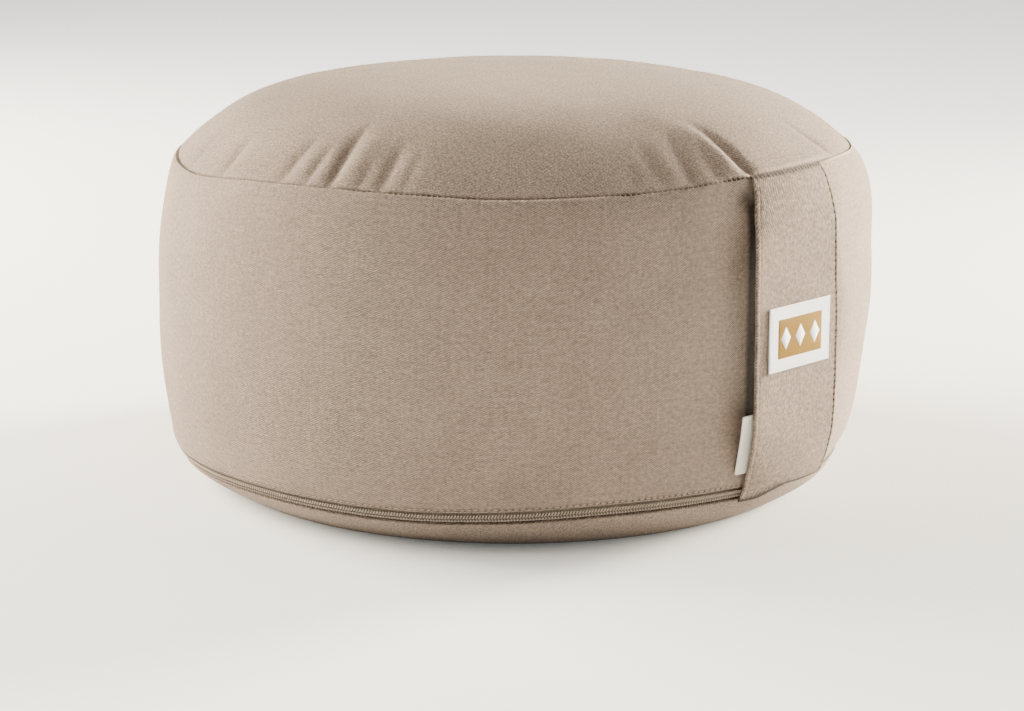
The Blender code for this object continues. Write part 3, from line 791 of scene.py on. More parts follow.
def tubes(stations: Array, radii: Array, sides: int, facing: Array) -> tuple[Array, Faces]:
    """Many closed tubes at once.

    Args:
        stations: the tubes' centre points in metres, shaped (tubes, stations, 3).
        radii: the radius at each station, in metres.
        sides: how many sides a tube has.
        facing: a direction at each station that the tube doesn't run along, shaped like stations.

    Returns:
        (vertices, faces).
    """
    count, length, _ = stations.shape
    ahead = np.gradient(stations, axis=1)
    ahead /= np.linalg.norm(ahead, axis=2, keepdims=True)
    side = np.cross(ahead, facing)
    side /= np.linalg.norm(side, axis=2, keepdims=True)
    up = np.cross(side, ahead)
    turns = 2.0 * np.pi * np.arange(sides) / sides
    rim = side[:, :, None, :] * np.cos(turns)[:, None] + up[:, :, None, :] * np.sin(turns)[:, None]
    points = stations[:, :, None, :] + rim * np.asarray(radii)[None, :, None, None]
    faces = [face for tube in range(count) for face in lofted(length, sides, tube * length * sides)]
    return points.reshape(-1, 3), faces


@dataclass(frozen=True)
class Stitching:
    """A line of stitches that dive into the cloth at their ends."""

    pitch: float
    length: float
    radius: float
    sink: float = 0.28  # how deep the ends lie under the cloth
    rise: float = -0.02  # how far the middle's centre stands above it
    stations: int = 5
    sides: int = 6

    def along(self, line: Array, outward: Array) -> tuple[Array, Faces]:
        """The stitches along a line.

        Args:
            line: points of the line on the cloth, in metres.
            outward: the cloth's outward direction at each of them.

        Returns:
            (vertices, faces).
        """
        steps = np.linalg.norm(np.diff(line, axis=0), axis=1)
        run = np.concatenate([[0.0], np.cumsum(steps)])
        count = int((run[-1] - self.length * MM) / (self.pitch * MM)) + 1
        spare = run[-1] - ((count - 1) * self.pitch + self.length) * MM
        starts = 0.5 * spare + np.arange(count) * self.pitch * MM
        shares = np.linspace(0.0, 1.0, self.stations)
        spots = starts[:, None] + shares * self.length * MM
        places, facing = (
            np.stack([np.interp(spots, run, some[:, axis]) for axis in range(3)], axis=-1)
            for some in (line, outward)
        )
        facing /= np.linalg.norm(facing, axis=2, keepdims=True)
        arch = np.sin(np.pi * shares) ** 0.7
        lift = (-self.sink + (self.sink + self.rise) * arch) * MM
        radii = self.radius * MM * (0.6 + 0.4 * arch)
        return tubes(places + facing * lift[None, :, None], radii, self.sides, facing)


def joined(parts: Sequence[tuple[Array, Faces]]) -> tuple[Array, Faces]:
    """Several (vertices, faces) pairs as one.

    Args:
        parts: the pairs.

    Returns:
        (vertices, faces).
    """
    points, faces, start = [], [], 0
    for some_points, some_faces in parts:
        points.append(some_points)
        faces += [[corner + start for corner in face] for face in some_faces]
        start += len(some_points)
    return np.concatenate(points), faces


# ---------------------------------------------------------------- the cushion's surface
@dataclass(frozen=True)
class CushionShape:
    """The drum's surface. Each place is a (radius, height) pair in millimetres, over an array of bearings."""

    top_radius: float = 165.0
    top_height: float = 161.3
    lower_radius: float = 170.2
    lower_height: float = 21.8
    rest_radius: float = 148.0  # of the ring where the bottom panel leaves the floor
    rest_roundness: float = 0.98
    bulge: float = 10.8
    bulge_skew: float = 1.25
    bulge_fullness: float = 0.55
    crown_rise: float = 32.9
    crown_fullness: float = 4.6
    seam_hold: float = 0.05  # share of the band's height over which a seam holds it in
    seat_x: float = 175.0  # the wall is pressed flat to this plane behind the strap
    seat_softness: float = 1.0
    seat_swing: float = 30.0
    channel_from: float = -178.0  # bearings between which the zip's channel is open
    channel_to: float = 1.0
    channel_fade: float = 6.0
    channel_drop: float = 6.4  # height of the open channel, and of the plain seam
    plain_drop: float = 2.2
    channel_depth: float = 2.4
    plain_depth: float = 1.0
    valley_core: float = 0.45  # width of a pucker's sharp core, as a share of its own
    core_share: float = 0.35

    def top_seam(self, bearing: Array) -> tuple[Array, Array]:
        """The top seam."""
        lift = around(TOP_SEAM, "lift", bearing)
        return self.top_radius + around(TOP_SEAM, "out", bearing), self.top_height + lift

    def lower_seam(self, bearing: Array) -> tuple[Array, Array]:
        """The band's lower edge, the lip over the zip."""
        lift = around(LOWER_SEAM, "lift", bearing)
        return self.lower_radius + around(LOWER_SEAM, "out", bearing), self.lower_height + lift

    def band(self, bearing: Array, share: Array) -> tuple[Array, Array]:
        """The side band, share 0 at its lower edge and 1 at the top seam.

        Args:
            bearing: the bearings.
            share: how high up the band.

        Returns:
            (radius, height).
        """
        foot_radius, foot_height = self.lower_seam(bearing)
        head_radius, head_height = self.top_seam(bearing)
        share = np.clip(share, 0.0, 1.0)
        height = foot_height + share * (head_height - foot_height)
        radius = foot_radius + share * (head_radius - foot_radius)
        bow = np.maximum(0.0, np.sin(np.pi * share**self.bulge_skew))
        extra = sum(
            around(BODY_FORM, part, bearing) * bell((share - middle) / reach)
            for part, middle, reach in (("foot", 0.12, 0.16), ("belly", 0.50, 0.25), ("head", 0.86, 0.14))
        )
        held = smooth(share / self.seam_hold) * smooth((1.0 - share) / self.seam_hold)
        radius = radius + self.bulge * bow**self.bulge_fullness + extra * held
        return self.pressed_flat(radius, bearing, share) - self.dimpled(bearing, height), height

    def pressed_flat(self, radius: Array, bearing: Array, share: Array) -> Array:
        """The wall's radius once the strap has pressed it to a flat seat.

        Args:
            radius: the plain wall's radius.
            bearing: the bearings.
            share: how high up the band.

        Returns:
            The radius.
        """
        swing = turned(bearing)
        near = np.clip(np.abs(swing), 0.0, self.seat_swing)
        over = radius - self.seat_x / np.cos(np.radians(near))
        pressed = 0.5 * (over + np.hypot(over, self.seat_softness))
        window = smooth((share - 0.06) / 0.22) * smooth((0.95 - share) / 0.20)
        return radius - np.where(np.abs(swing) > self.seat_swing, 0.0, window * pressed)

    def dimpled(self, bearing: Array, height: Array) -> Array:
        """Depth of the wall's hollows.

        Args:
            bearing: the bearings.
            height: the heights.

        Returns:
            The depth.
        """
        depth = 0.0 * height
        for dimple in DIMPLES:
            across = np.radians(turned(bearing - dimple.bearing)) * self.top_radius / dimple.half_width
            up = (height - dimple.height) / dimple.half_height
            depth = depth + dimple.depth * bell(across) * bell(up)
        return depth

    def puckered(self, bearing: Array, radius: Array, inward: float) -> Array:
        """Height of the puckers above the plain top panel.

        Args:
            bearing: the bearings.
            radius: the panel's radius there.
            inward: the distance from the top seam.

        Returns:
            The height, which is negative in a valley.
        """
        height = np.zeros(np.broadcast(bearing, radius).shape)
        for pucker in PUCKERS:
            if inward >= pucker.reach:
                continue
            line = pucker.bearing + pucker.sway * inward / pucker.reach
            across = np.radians(turned(bearing - line)) * radius / pucker.width
            side = math.copysign(2.1, pucker.ridge)
            core = self.core_share * bell(across / self.valley_core)
            valley = (1.0 - self.core_share) * bell(across) + core
            relief = 0.5 * abs(pucker.ridge) * bell((across - side) / 1.4) - valley
            start = 0.4 + 0.6 * smooth(inward / 8.0)
            fade = 1.0 - smooth((inward / pucker.reach - 0.3) / 0.7)
            height += pucker.depth * relief * start * fade
        return height

    def crown(self, bearing: Array, inward: Array) -> tuple[Array, Array]:
        """The top panel, by its distance in from the top seam.

        Args:
            bearing: the bearings.
            inward: the distance.

        Returns:
            (radius, height).
        """
        seam_radius, seam_height = self.top_seam(bearing)
        radius = seam_radius - inward
        share = radius / seam_radius
        lifted = (seam_height - self.top_height) * share**3
        shoulder = around(BODY_FORM, "shoulder", bearing) * bell((share - 0.82) / 0.12)
        height = self.top_height + lifted + shoulder + self.crown_rise * (1.0 - share**self.crown_fullness)
        return radius, height + self.puckered(bearing, radius, float(np.mean(inward)))

    def openness(self, bearing: Array) -> Array:
        """1 where the zip's channel is open, 0 where the lower seam is plain.

        Args:
            bearing: the bearings.

        Returns:
            The openness.
        """
        middle = 0.5 * (self.channel_from + self.channel_to)
        half = 0.5 * (self.channel_to - self.channel_from)
        return smooth((half - np.abs(turned(bearing - middle))) / self.channel_fade)

    def hem_height(self, bearing: Array) -> Array:
        """Height of the bottom panel's edge, under the channel."""
        drop = self.plain_drop + (self.channel_drop - self.plain_drop) * self.openness(bearing)
        return self.lower_seam(bearing)[1] - drop

    def rest(self, bearing: Array, height: Array) -> tuple[Array, Array]:
        """The bottom panel between the floor and the lower seam.

        Args:
            bearing: the bearings.
            height: the heights.

        Returns:
            (radius, height).
        """
        seam_radius, seam_height = self.lower_seam(bearing)
        rise = np.sin(0.5 * np.pi * np.maximum(height, 0.0) / seam_height) ** self.rest_roundness
        return self.rest_radius + (seam_radius - self.rest_radius) * rise, height

    def channel(self, bearing: Array, along: Array, depth: Array) -> tuple[Array, Array]:
        """The channel: along 0 at the bottom panel's edge and 1 at the lip, depth outwards from its mouth.

        Args:
            bearing: the bearings.
            along: the share of its height.
            depth: the depth, negative inside.

        Returns:
            (radius, height).
        """
        lip_radius, lip_height = self.lower_seam(bearing)
        edge_radius, edge_height = self.rest(bearing, self.hem_height(bearing))
        run, climb = lip_radius - edge_radius, lip_height - edge_height
        out, down = climb / np.hypot(run, climb), run / np.hypot(run, climb)
        return edge_radius + along * run + depth * out, edge_height + along * climb - depth * down

    def channel_floor(self, bearing: Array) -> Array:
        """Depth of the channel's floor."""
        return -(self.plain_depth + (self.channel_depth - self.plain_depth) * self.openness(bearing))


# ---------------------------------------------------------------- the cover
class Panel(Enum):
    """The cut pieces of the cover."""

    BOTTOM = "bottom panel"
    BAND = "side band"
    TOP = "top panel"


class Line(NamedTuple):
    """A rounded line that runs beside a seam."""

    size: float  # how far it stands out in millimetres, or how strong its painted shade or highlight is
    place: float  # its distance from the seam
    width: float

    def over(self, distance: float, wider: Array = 1.0) -> Array:
        """Its size at a distance from the seam."""
        return self.size * bell((distance - self.place) / (self.width * wider))


class Row(NamedTuple):
    """One ring of the cover."""

    columns: int
    panel: Panel  # the cloth between it and the ring before
    place: Callable[[Array], tuple[Array, Array]]
    off_seam: float = FAR  # distance from the top seam, positive on the top panel
    off_lip: float = FAR  # distance above the lip
    deep: float = 0.0  # its painted shade in the zip's channel, from 0 to 1


@dataclass
class Cover:
    """The filled cover: one closed form with its seams, hems, zip channel and puckers."""

    shape: CushionShape
    cloth: TwillCloth
    thread: SewingThread
    seam_stitch: float = 2.5
    hem_stitch: float = 3.0
    columns_a_stitch: int = 4
    fine_reach: float = 1.4  # how far from a seam the rings have columns for each stitch
    rim_near: float = 5.0  # and how far below the top seam they have those of the rim
    rim_columns: int = 830
    crown_columns: int = 415
    base_columns: int = 356
    rest_rings: Pairs = ((14.0, 24), (45.0, 72), (85.0, 120), (120.0, 178), (140.0, 356))  # (radius, columns)
    rest_shares: Numbers = (0.0, 0.02, 0.06, 0.12, 0.19, 0.27, 0.36, 0.46, 0.57, 0.68, 0.78, 0.87, 0.94)
    channel_foot: Pairs = ((0.0, 0.05), (0.02, 0.28), (0.05, 0.65), (0.10, 1.0))
    channel_head: Pairs = ((0.55, 1.0), (0.9, 1.0), (0.95, 0.62), (0.985, 0.28), (1.0, 0.08))
    lip_steps: Numbers = (0.25, 0.6, 1.0, 1.4, 1.9, 2.6, 3.6, 5.0, 7.0)
    band_rows: int = 46
    head_steps: Numbers = (9.0, 6.4, 4.4, 3.0, 2.0, 1.25, 0.78, 0.48, 0.28, 0.15, 0.06, 0.015)
    rim_steps: Numbers = (0.0, 0.2, 0.42, 0.7, 1.05, 1.5, 2.1, 3.0, 4.2)
    rim_reach: float = 46.0
    rim_rows: int = 21
    crown_rings: Pairs = (
        (0.690, 415), (0.655, 415), (0.615, 415), (0.57, 415), (0.52, 415), (0.47, 278), (0.42, 278),
        (0.36, 208), (0.30, 208), (0.24, 139), (0.18, 104), (0.12, 72), (0.06, 36),
    )
    seam_near: float = 12.0  # how far from a seam its lines reach
    hem_near: float = 8.0
    groove: Line = Line(1.0, 0.0, 0.42)
    seam_pull: Line = Line(0.40, 0.0, 0.9)
    ridge: Line = Line(0.65, -0.8, 0.42)
    roll: Line = Line(0.75, 1.8, 1.1)
    seam_painted_shade: Line = Line(1.5, 0.0, 0.42)
    ridge_painted_highlight: Line = Line(1.0, -0.95, 0.5)
    roll_painted_highlight: Line = Line(1.0, 1.5, 0.8)
    hem_groove: Line = Line(0.22, HEM_LINE, 0.7)
    hem_pull: Line = Line(0.30, HEM_LINE, 0.45)
    hem_painted_shade: Line = Line(1.0, HEM_LINE, 0.55)
    pocket: Dimple = Dimple(-8.6, 155.0, 0.9, 1.3, 5.0)  # the painted shade beside the strap's upper end, in degrees
    strap_cover: tuple[float, float] = (-9.3, 11.0)  # bearings that the strap hides, where the wall gets painted shadow
    drawn_in: float = 2.6  # how far the wall is pressed in behind the strap
    swell: float = 0.55  # the wall's slow unevenness
    crumple: float = 0.16  # and its small one
    thread_lean: float = 0.35
    thread_radius: float = 0.17

    def stitch_count(self, radius: float, pitch: float) -> int:
        """How many stitches a full turn takes."""
        return round(2.0 * math.pi * radius / pitch)

    def rows(self) -> list[Row]:
        """The cover's rings from the middle of its base to its crest.

        Returns:
            The rings in order.
        """
        shape = self.shape
        lip_columns = self.stitch_count(shape.lower_radius, self.hem_stitch) * self.columns_a_stitch
        seam_columns = self.stitch_count(shape.top_radius, self.seam_stitch) * self.columns_a_stitch
        made = [
            Row(columns, Panel.BOTTOM, lambda b, r=radius: (r + 0.0 * b, 0.0 * b))
            for radius, columns in self.rest_rings
        ]
        for share in self.rest_shares:
            place = lambda b, s=share: shape.rest(b, s * shape.hem_height(b))
            made.append(Row(self.base_columns, Panel.BOTTOM, place))
        made += [self.channel_row(Panel.BOTTOM, along, deep) for along, deep in self.channel_foot]
        made += [self.channel_row(Panel.BAND, along, deep) for along, deep in self.channel_head]
        span = shape.top_height - shape.lower_height
        for step in self.lip_steps:
            columns = lip_columns if step < 3.0 else self.base_columns
            made.append(Row(columns, Panel.BAND, lambda b, s=step / span: shape.band(b, s), off_lip=step))
        low, high = self.lip_steps[-1] / span, 1.0 - self.head_steps[0] / span
        for i in range(1, self.band_rows):
            share = low + (high - low) * i / self.band_rows
            made.append(Row(self.crown_columns, Panel.BAND, lambda b, s=share: shape.band(b, s)))
        for step in self.head_steps:
            off = self.head_distance(step)
            plain_columns = self.rim_columns if off < self.rim_near else self.crown_columns
            columns = seam_columns if off < self.fine_reach else plain_columns
            made.append(self.head_row(columns, 1.0 - step / span, -off))
        for step in self.rim_steps:
            columns = seam_columns if step < self.fine_reach else self.rim_columns
            made.append(Row(columns, Panel.TOP, lambda b, d=step: shape.crown(b, d), off_seam=step))
        for i in range(1, self.rim_rows + 1):
            step = self.rim_steps[-1] + (self.rim_reach - self.rim_steps[-1]) * (i / self.rim_rows) ** 1.15
            made.append(Row(self.rim_columns, Panel.TOP, lambda b, d=step: shape.crown(b, d), off_seam=step))
        for share, columns in self.crown_rings:
            inward = shape.top_radius * (1.0 - share)
            place = lambda b, s=share: shape.crown(b, shape.top_seam(b)[0] * (1.0 - s))
            made.append(Row(columns, Panel.TOP, place, off_seam=inward))
        return made

    def channel_row(self, panel: Panel, along: float, deep: float) -> Row:
        """A ring in the channel, deep being a share of the channel's depth.

        Args:
            panel: the cut piece that it belongs to.
            along: the share of the channel's height.
            deep: the share of its depth.

        Returns:
            The ring.
        """
        shape = self.shape
        place = lambda b: shape.channel(b, along, deep * shape.channel_floor(b))
        # the deeper in the channel, the darker its painted shade
        return Row(self.base_columns, panel, place, deep=0.8 * deep)

    def head_row(self, columns: int, share: float, off_seam: float) -> Row:
        """A ring near the top of the band."""
        return Row(columns, Panel.BAND, lambda b: self.shape.band(b, share), off_seam=off_seam)

    def head_distance(self, step: float) -> float:
        """How far along the cloth a height below the top seam is, where the band turns in.

        Args:
            step: the height below the seam.

        Returns:
            The distance.
        """
        span = self.shape.top_height - self.shape.lower_height
        bow = math.sin(math.pi * (1.0 - step / span) ** self.shape.bulge_skew)
        return math.hypot(step, self.shape.bulge * max(0.0, bow) ** self.shape.bulge_fullness)

    def pulse(self, bearing: Array, radius: float, pitch: float) -> Array:
        """1 at each stitch hole, 0 half-way between two."""
        return pulse(bearing / FULL_TURN * self.stitch_count(radius, pitch))

    def relief(self, row: Row, bearing: Array) -> tuple[Array, Array]:
        """The sewn lines of a ring.

        Args:
            row: the ring.
            bearing: its columns.

        Returns:
            (how far it stands out of the plain surface, its painted shade and highlight from -1 to 1).
        """
        shape, out, hollow = self.shape, np.zeros_like(bearing), np.full_like(bearing, row.deep)
        if abs(row.off_seam) < self.seam_near:
            d = row.off_seam
            dark, ridge, roll = (around(TOP_SEAM_LOOK, look, bearing) for look in ("dark", "ridge", "roll"))
            holes = self.pulse(bearing, shape.top_radius, self.seam_stitch)
            gape = np.clip(dark * (1.0 + 0.2 * np.sin(np.radians(bearing) * 61.0)), 0.0, 1.0)
            wider = 0.85 + 1.2 * gape**3
            out -= (0.05 + 0.95 * gape) * self.groove.over(d, wider)
            out -= (0.3 + 0.7 * dark) * holes * self.seam_pull.over(d)
            out += ridge * self.ridge.over(d) + roll * self.roll.over(d)
            # painted shade in the gaping seam, darker at the stitch holes, and painted highlights on the
            # ridge below and the roll above
            hollow += gape * (0.4 + 0.6 * holes) * self.seam_painted_shade.over(d, wider)
            hollow -= (1.0 - 0.6 * gape * holes) * ridge * self.ridge_painted_highlight.over(d)
            hollow -= (0.9 - 0.6 * holes) * roll * self.roll_painted_highlight.over(d)
        if row.off_lip < self.hem_near:
            holes = self.pulse(bearing, shape.lower_radius, self.hem_stitch)
            out -= self.hem_groove.over(row.off_lip) + holes * self.hem_pull.over(row.off_lip)
            # painted shade along the hem's stitched groove, darker at the stitch holes
            hollow += (0.35 + 0.85 * holes) * self.hem_painted_shade.over(row.off_lip)
        if row.panel is Panel.BAND and not row.deep:
            height, swing = row.place(bearing)[1], turned(bearing)
            hollow += self.painted_shadow_behind_strap(bearing, height)
            upright = smooth((height - 34.0) / 30.0) * smooth((154.0 - height) / 26.0)
            out -= self.drawn_in * smooth((swing + 20.0) / 10.0) * smooth((12.0 - swing) / 8.0) * upright
        return out, np.clip(hollow, -1.0, 1.0)

    def painted_shadow_behind_strap(self, bearing: Array, height: Array) -> Array:
        """The painted shadow on the wall behind the strap and in the pocket beside its upper end, up to 0.95.

        Args:
            bearing: the bearings.
            height: the heights.

        Returns:
            The painted shadow at each place.
        """
        low, high = self.strap_cover
        swing = turned(bearing)
        across = smooth((swing - low) / 1.1) * smooth((high - swing) / 1.1)
        up = smooth((height - 34.0) / 14.0) * smooth((158.0 - height) / 6.0)
        spot = self.pocket
        beside = spot.depth * bell((swing - spot.bearing) / spot.half_width)
        return 0.95 * np.maximum(across * up, beside * bell((height - spot.height) / spot.half_height))

    def build(self) -> list[bpy.types.Object]:
        """Makes and dresses the cover and the threads that cross its top seam.

        Returns:
            The cover and its threads.
        """
        rows = self.rows()
        places, hollows, rings, along = [np.zeros((1, 3))], [np.zeros(1)], [], [0.0]
        start, path, before = 1, 0.0, (0.0, 0.0)
        for row in rows:
            bearing = -180.0 + FULL_TURN * np.arange(row.columns) / row.columns
            radius, height = row.place(bearing)
            out, hollow = self.relief(row, bearing)
            hollows.append(hollow)
            lean = 0.5 if row.off_seam < FAR else 0.97  # the relief's outward share, less near the top seam
            radius = radius + lean * out
            height = height + math.sqrt(1.0 - lean * lean) * out
            places.append(polar(bearing, radius, height))
            here = (float(radius.mean()), float(height.mean()))
            path += math.hypot(here[0] - before[0], here[1] - before[1])
            before = here
            rings.append((start, bearing))
            along.append(path)
            start += row.columns
        crest = (0.0, 0.0, (self.shape.top_height + self.shape.crown_rise) * MM)
        points = np.concatenate([*places, [crest]])
        path += before[0]
        faces, uvs = self.skin(rows, rings, along[1:], path, len(points) - 1)
        hollow = np.concatenate([*hollows, [0.0]])
        cover = make_piece("cushion_cover", points, faces, self.cloth.material(), uvs, hollow)
        self.make_uneven(cover)
        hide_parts("cushion_body")
        return [cover, self.build_seam_threads()]

    def skin(
        self, rows: list[Row], rings: list[tuple[int, Array]], along: list[float], path: float, crest: int
    ) -> tuple[Faces, Array]:
        """Joins the rings into a closed skin.

        Args:
            rows: the rings' descriptions.
            rings: each ring's first vertex and its bearings.
            along: each ring's distance from the middle of the base, along the cloth.
            path: the crest's distance along the cloth.
            crest: the crest's vertex.

        Returns:
            (faces, cloth coordinates of their corners).
        """
        faces, uvs = [], []

        def corner(panel: Panel, bearing: float, distance: float) -> tuple[float, float]:
            """A corner's place in its own cut piece, in metres.

            Args:
                panel: the cut piece.
                bearing: the corner's bearing.
                distance: its distance along the cloth.

            Returns:
                The two cloth coordinates.
            """
            angle = math.radians(bearing)
            if panel is Panel.BAND:
                return angle * self.shape.top_radius * MM, distance * MM
            reach = (path - distance if panel is Panel.TOP else distance) * MM
            return reach * math.cos(angle), reach * math.sin(angle)

        def add(panel: Panel, corners: list[tuple[int, float, float]]) -> None:
            """Adds a face from (vertex, bearing, distance) corners."""
            faces.append([vertex for vertex, _, _ in corners])
            uvs.extend(corner(panel, bearing, distance) for _, bearing, distance in corners)

        def fan(panel: Panel, ring: tuple[int, Array], distance: float, tip: int, reach: float) -> None:
            """Closes the opening of a ring with triangles.

            Args:
                panel: the cut piece.
                ring: the ring's first vertex and its bearings.
                distance: the ring's distance along the cloth.
                tip: the vertex in the middle.
                reach: its distance along the cloth.
            """
            first, bearings = ring
            count = len(bearings)
            for i, b in enumerate(bearings):
                far = (first + (i + 1) % count, b + FULL_TURN / count, distance)
                corners = [(first + i, b, distance), far, (tip, b, reach)]
                add(panel, corners[::-1] if panel is Panel.BOTTOM else corners)

        fan(Panel.BOTTOM, rings[0], along[0], 0, 0.0)
        for k in range(1, len(rings)):
            (low, low_b), (high, high_b) = rings[k - 1], rings[k]
            low_n, high_n, panel = len(low_b), len(high_b), rows[k].panel
            low_d, high_d = along[k - 1], along[k]
            low_step, high_step = FULL_TURN / low_n, FULL_TURN / high_n
            i = j = 0
            while i < low_n or j < high_n:
                a, c = low_b[0] + i * low_step, high_b[0] + j * high_step
                here, there = (low + i % low_n, a, low_d), (high + j % high_n, c, high_d)
                here_after = (low + (i + 1) % low_n, a + low_step, low_d)
                there_after = (high + (j + 1) % high_n, c + high_step, high_d)
                if low_n == high_n:
                    add(panel, [here, here_after, there_after, there])
                    i, j = i + 1, j + 1
                elif j >= high_n or (i < low_n and a + low_step <= c + high_step):
                    add(panel, [here, here_after, there])
                    i += 1
                else:
                    add(panel, [here, there_after, there])
                    j += 1
        fan(Panel.TOP, rings[-1], along[-1], crest, path)
        return faces, np.array(uvs)

    def make_uneven(self, cover: bpy.types.Object) -> None:
        """Gives the cloth the slow swells and small crumples of a filled cover, still at seams and floor.

        Args:
            cover: the cover, changed in place.
        """
        count = len(cover.data.vertices)
        points, normals = np.empty(count * 3), np.empty(count * 3)
        cover.data.vertices.foreach_get("co", points)
        cover.data.vertices.foreach_get("normal", normals)
        points, normals = points.reshape(-1, 3), normals.reshape(-1, 3)
        bearing = np.degrees(np.arctan2(points[:, 1], points[:, 0]))
        radius, height = np.hypot(points[:, 0], points[:, 1]) / MM, points[:, 2] / MM
        seam_radius, seam_height = self.shape.top_seam(bearing)
        lip_height = self.shape.lower_seam(bearing)[1]
        from_seam = np.hypot(radius - seam_radius, height - seam_height)
        calm = smooth((from_seam - 3.0) / 18.0) * smooth((height - lip_height - 4.0) / 20.0)
        amount = self.swell * ripples(points, 62.0, 3.1) + self.crumple * ripples(points, 17.0, 9.7)
        points += normals * (amount * calm * MM)[:, None]
        cover.data.vertices.foreach_set("co", points.ravel())
        cover.data.update()

    def build_seam_threads(self) -> bpy.types.Object:
        """The short threads that show just below the top seam where the filling pulls it open.

        Returns:
            The threads.
        """
        count = self.stitch_count(self.shape.top_radius, self.seam_stitch)
        bearing = FULL_TURN * (np.arange(count) + 0.5) / count
        shares = np.linspace(-1.0, 1.0, 5)
        radius, height = self.shape.top_seam(bearing)
        lean = np.degrees(self.thread_lean / self.shape.top_radius)
        stations = np.stack([
            polar(bearing + lean * t, radius + 0.10 - 0.30 * t - 0.30 * t**2, height - 0.55 + 0.45 * t)
            for t in shares
        ], axis=1)
        facing = np.repeat(polar(bearing, 1.0, 1.0)[:, None, :], len(shares), axis=1)
        points, faces = tubes(stations, np.full(len(shares), self.thread_radius * MM), 5, facing)
        return make_piece("top_seam_threads", points, faces, self.thread.material())


# ---------------------------------------------------------------- the carrying strap and what is sewn to it
@dataclass(frozen=True)
class StrapPath:
    """Where the strap runs, by its run below the top seam, its place across and its distance off."""

    shape: CushionShape
    normal_step: float = 0.012  # share of the band's height, for the wall's own slope
    run_step: float = 0.8  # for the strap's slope

    @property
    def seam_height(self) -> float:
        """The height of the top seam behind the strap, where its run starts."""
        return float(self.shape.top_seam(0.0)[1])

    @property
    def band_height(self) -> float:
        """The height of the band behind the strap."""
        return self.seam_height - float(self.shape.lower_seam(0.0)[1])

    def row(self, run: Array, column: str) -> Array:
        """A column of the strap's table at a run, held at its ends.

        Args:
            run: the runs.
            column: the column's name.

        Returns:
            The column's values.
        """
        shares = np.array([row.share for row in STRAP_ROWS])
        values = np.array([getattr(row, column) for row in STRAP_ROWS])
        return through(shares, values, np.clip(1.0 - np.asarray(run) / self.band_height, 0.0, 1.0))

    def line(self, run: Array, bearing: Array) -> tuple[Array, Array]:
        """The strap's inner face where it follows the wall.

        Args:
            run: the runs.
            bearing: the bearings.

        Returns:
            (radius, height).
        """
        run = np.asarray(run, float)
        share = 1.0 - run / self.band_height
        gap = self.row(run, "gap")
        radius, height = self.shape.band(bearing, share)
        above = self.shape.band(bearing, np.minimum(1.0, share + self.normal_step))
        below = self.shape.band(bearing, np.maximum(0.0, share - self.normal_step))
        out, climb = above[0] - below[0], above[1] - below[1]
        length = np.maximum(np.hypot(out, climb), 1e-9)
        past = -share * self.band_height
        under = self.shape.channel(bearing, 1.0 - past / self.shape.channel_drop, gap)
        on_wall = share >= 0.0
        return (
            np.where(on_wall, radius + gap * climb / length, under[0]),
            np.where(on_wall, height - gap * out / length, under[1]),
        )

    def outward(self, run: Array) -> tuple[Array, Array]:
        """The direction out of the strap's face.

        Args:
            run: the runs.

        Returns:
            (x, z).
        """
        low = self.line(np.asarray(run) + self.run_step, 0.0)
        high = self.line(np.maximum(np.asarray(run) - self.run_step, 0.0), 0.0)
        dx, dz = high[0] - low[0], high[1] - low[1]
        size = np.hypot(dx, dz)
        return dz / size, -dx / size

    def point(self, run: Array, y: Array, off: Array) -> Array:
        """Points in metres on and off the strap.

        Args:
            run: the runs.
            y: the places across.
            off: the distances off the inner face.

        Returns:
            The points.
        """
        middle_x, middle_z = self.line(run, 0.0)
        swing = np.arcsin(np.asarray(y) / middle_x)
        radius, height = self.line(run, np.degrees(swing))
        curl = self.row(run, "curl")
        out_x, out_z = self.outward(run)
        x = middle_x + curl * (radius * np.cos(swing) - middle_x)
        z = middle_z + curl * (height - middle_z)
        return np.stack([x + off * out_x, y + 0.0 * x, z + off * out_z], axis=-1) * MM


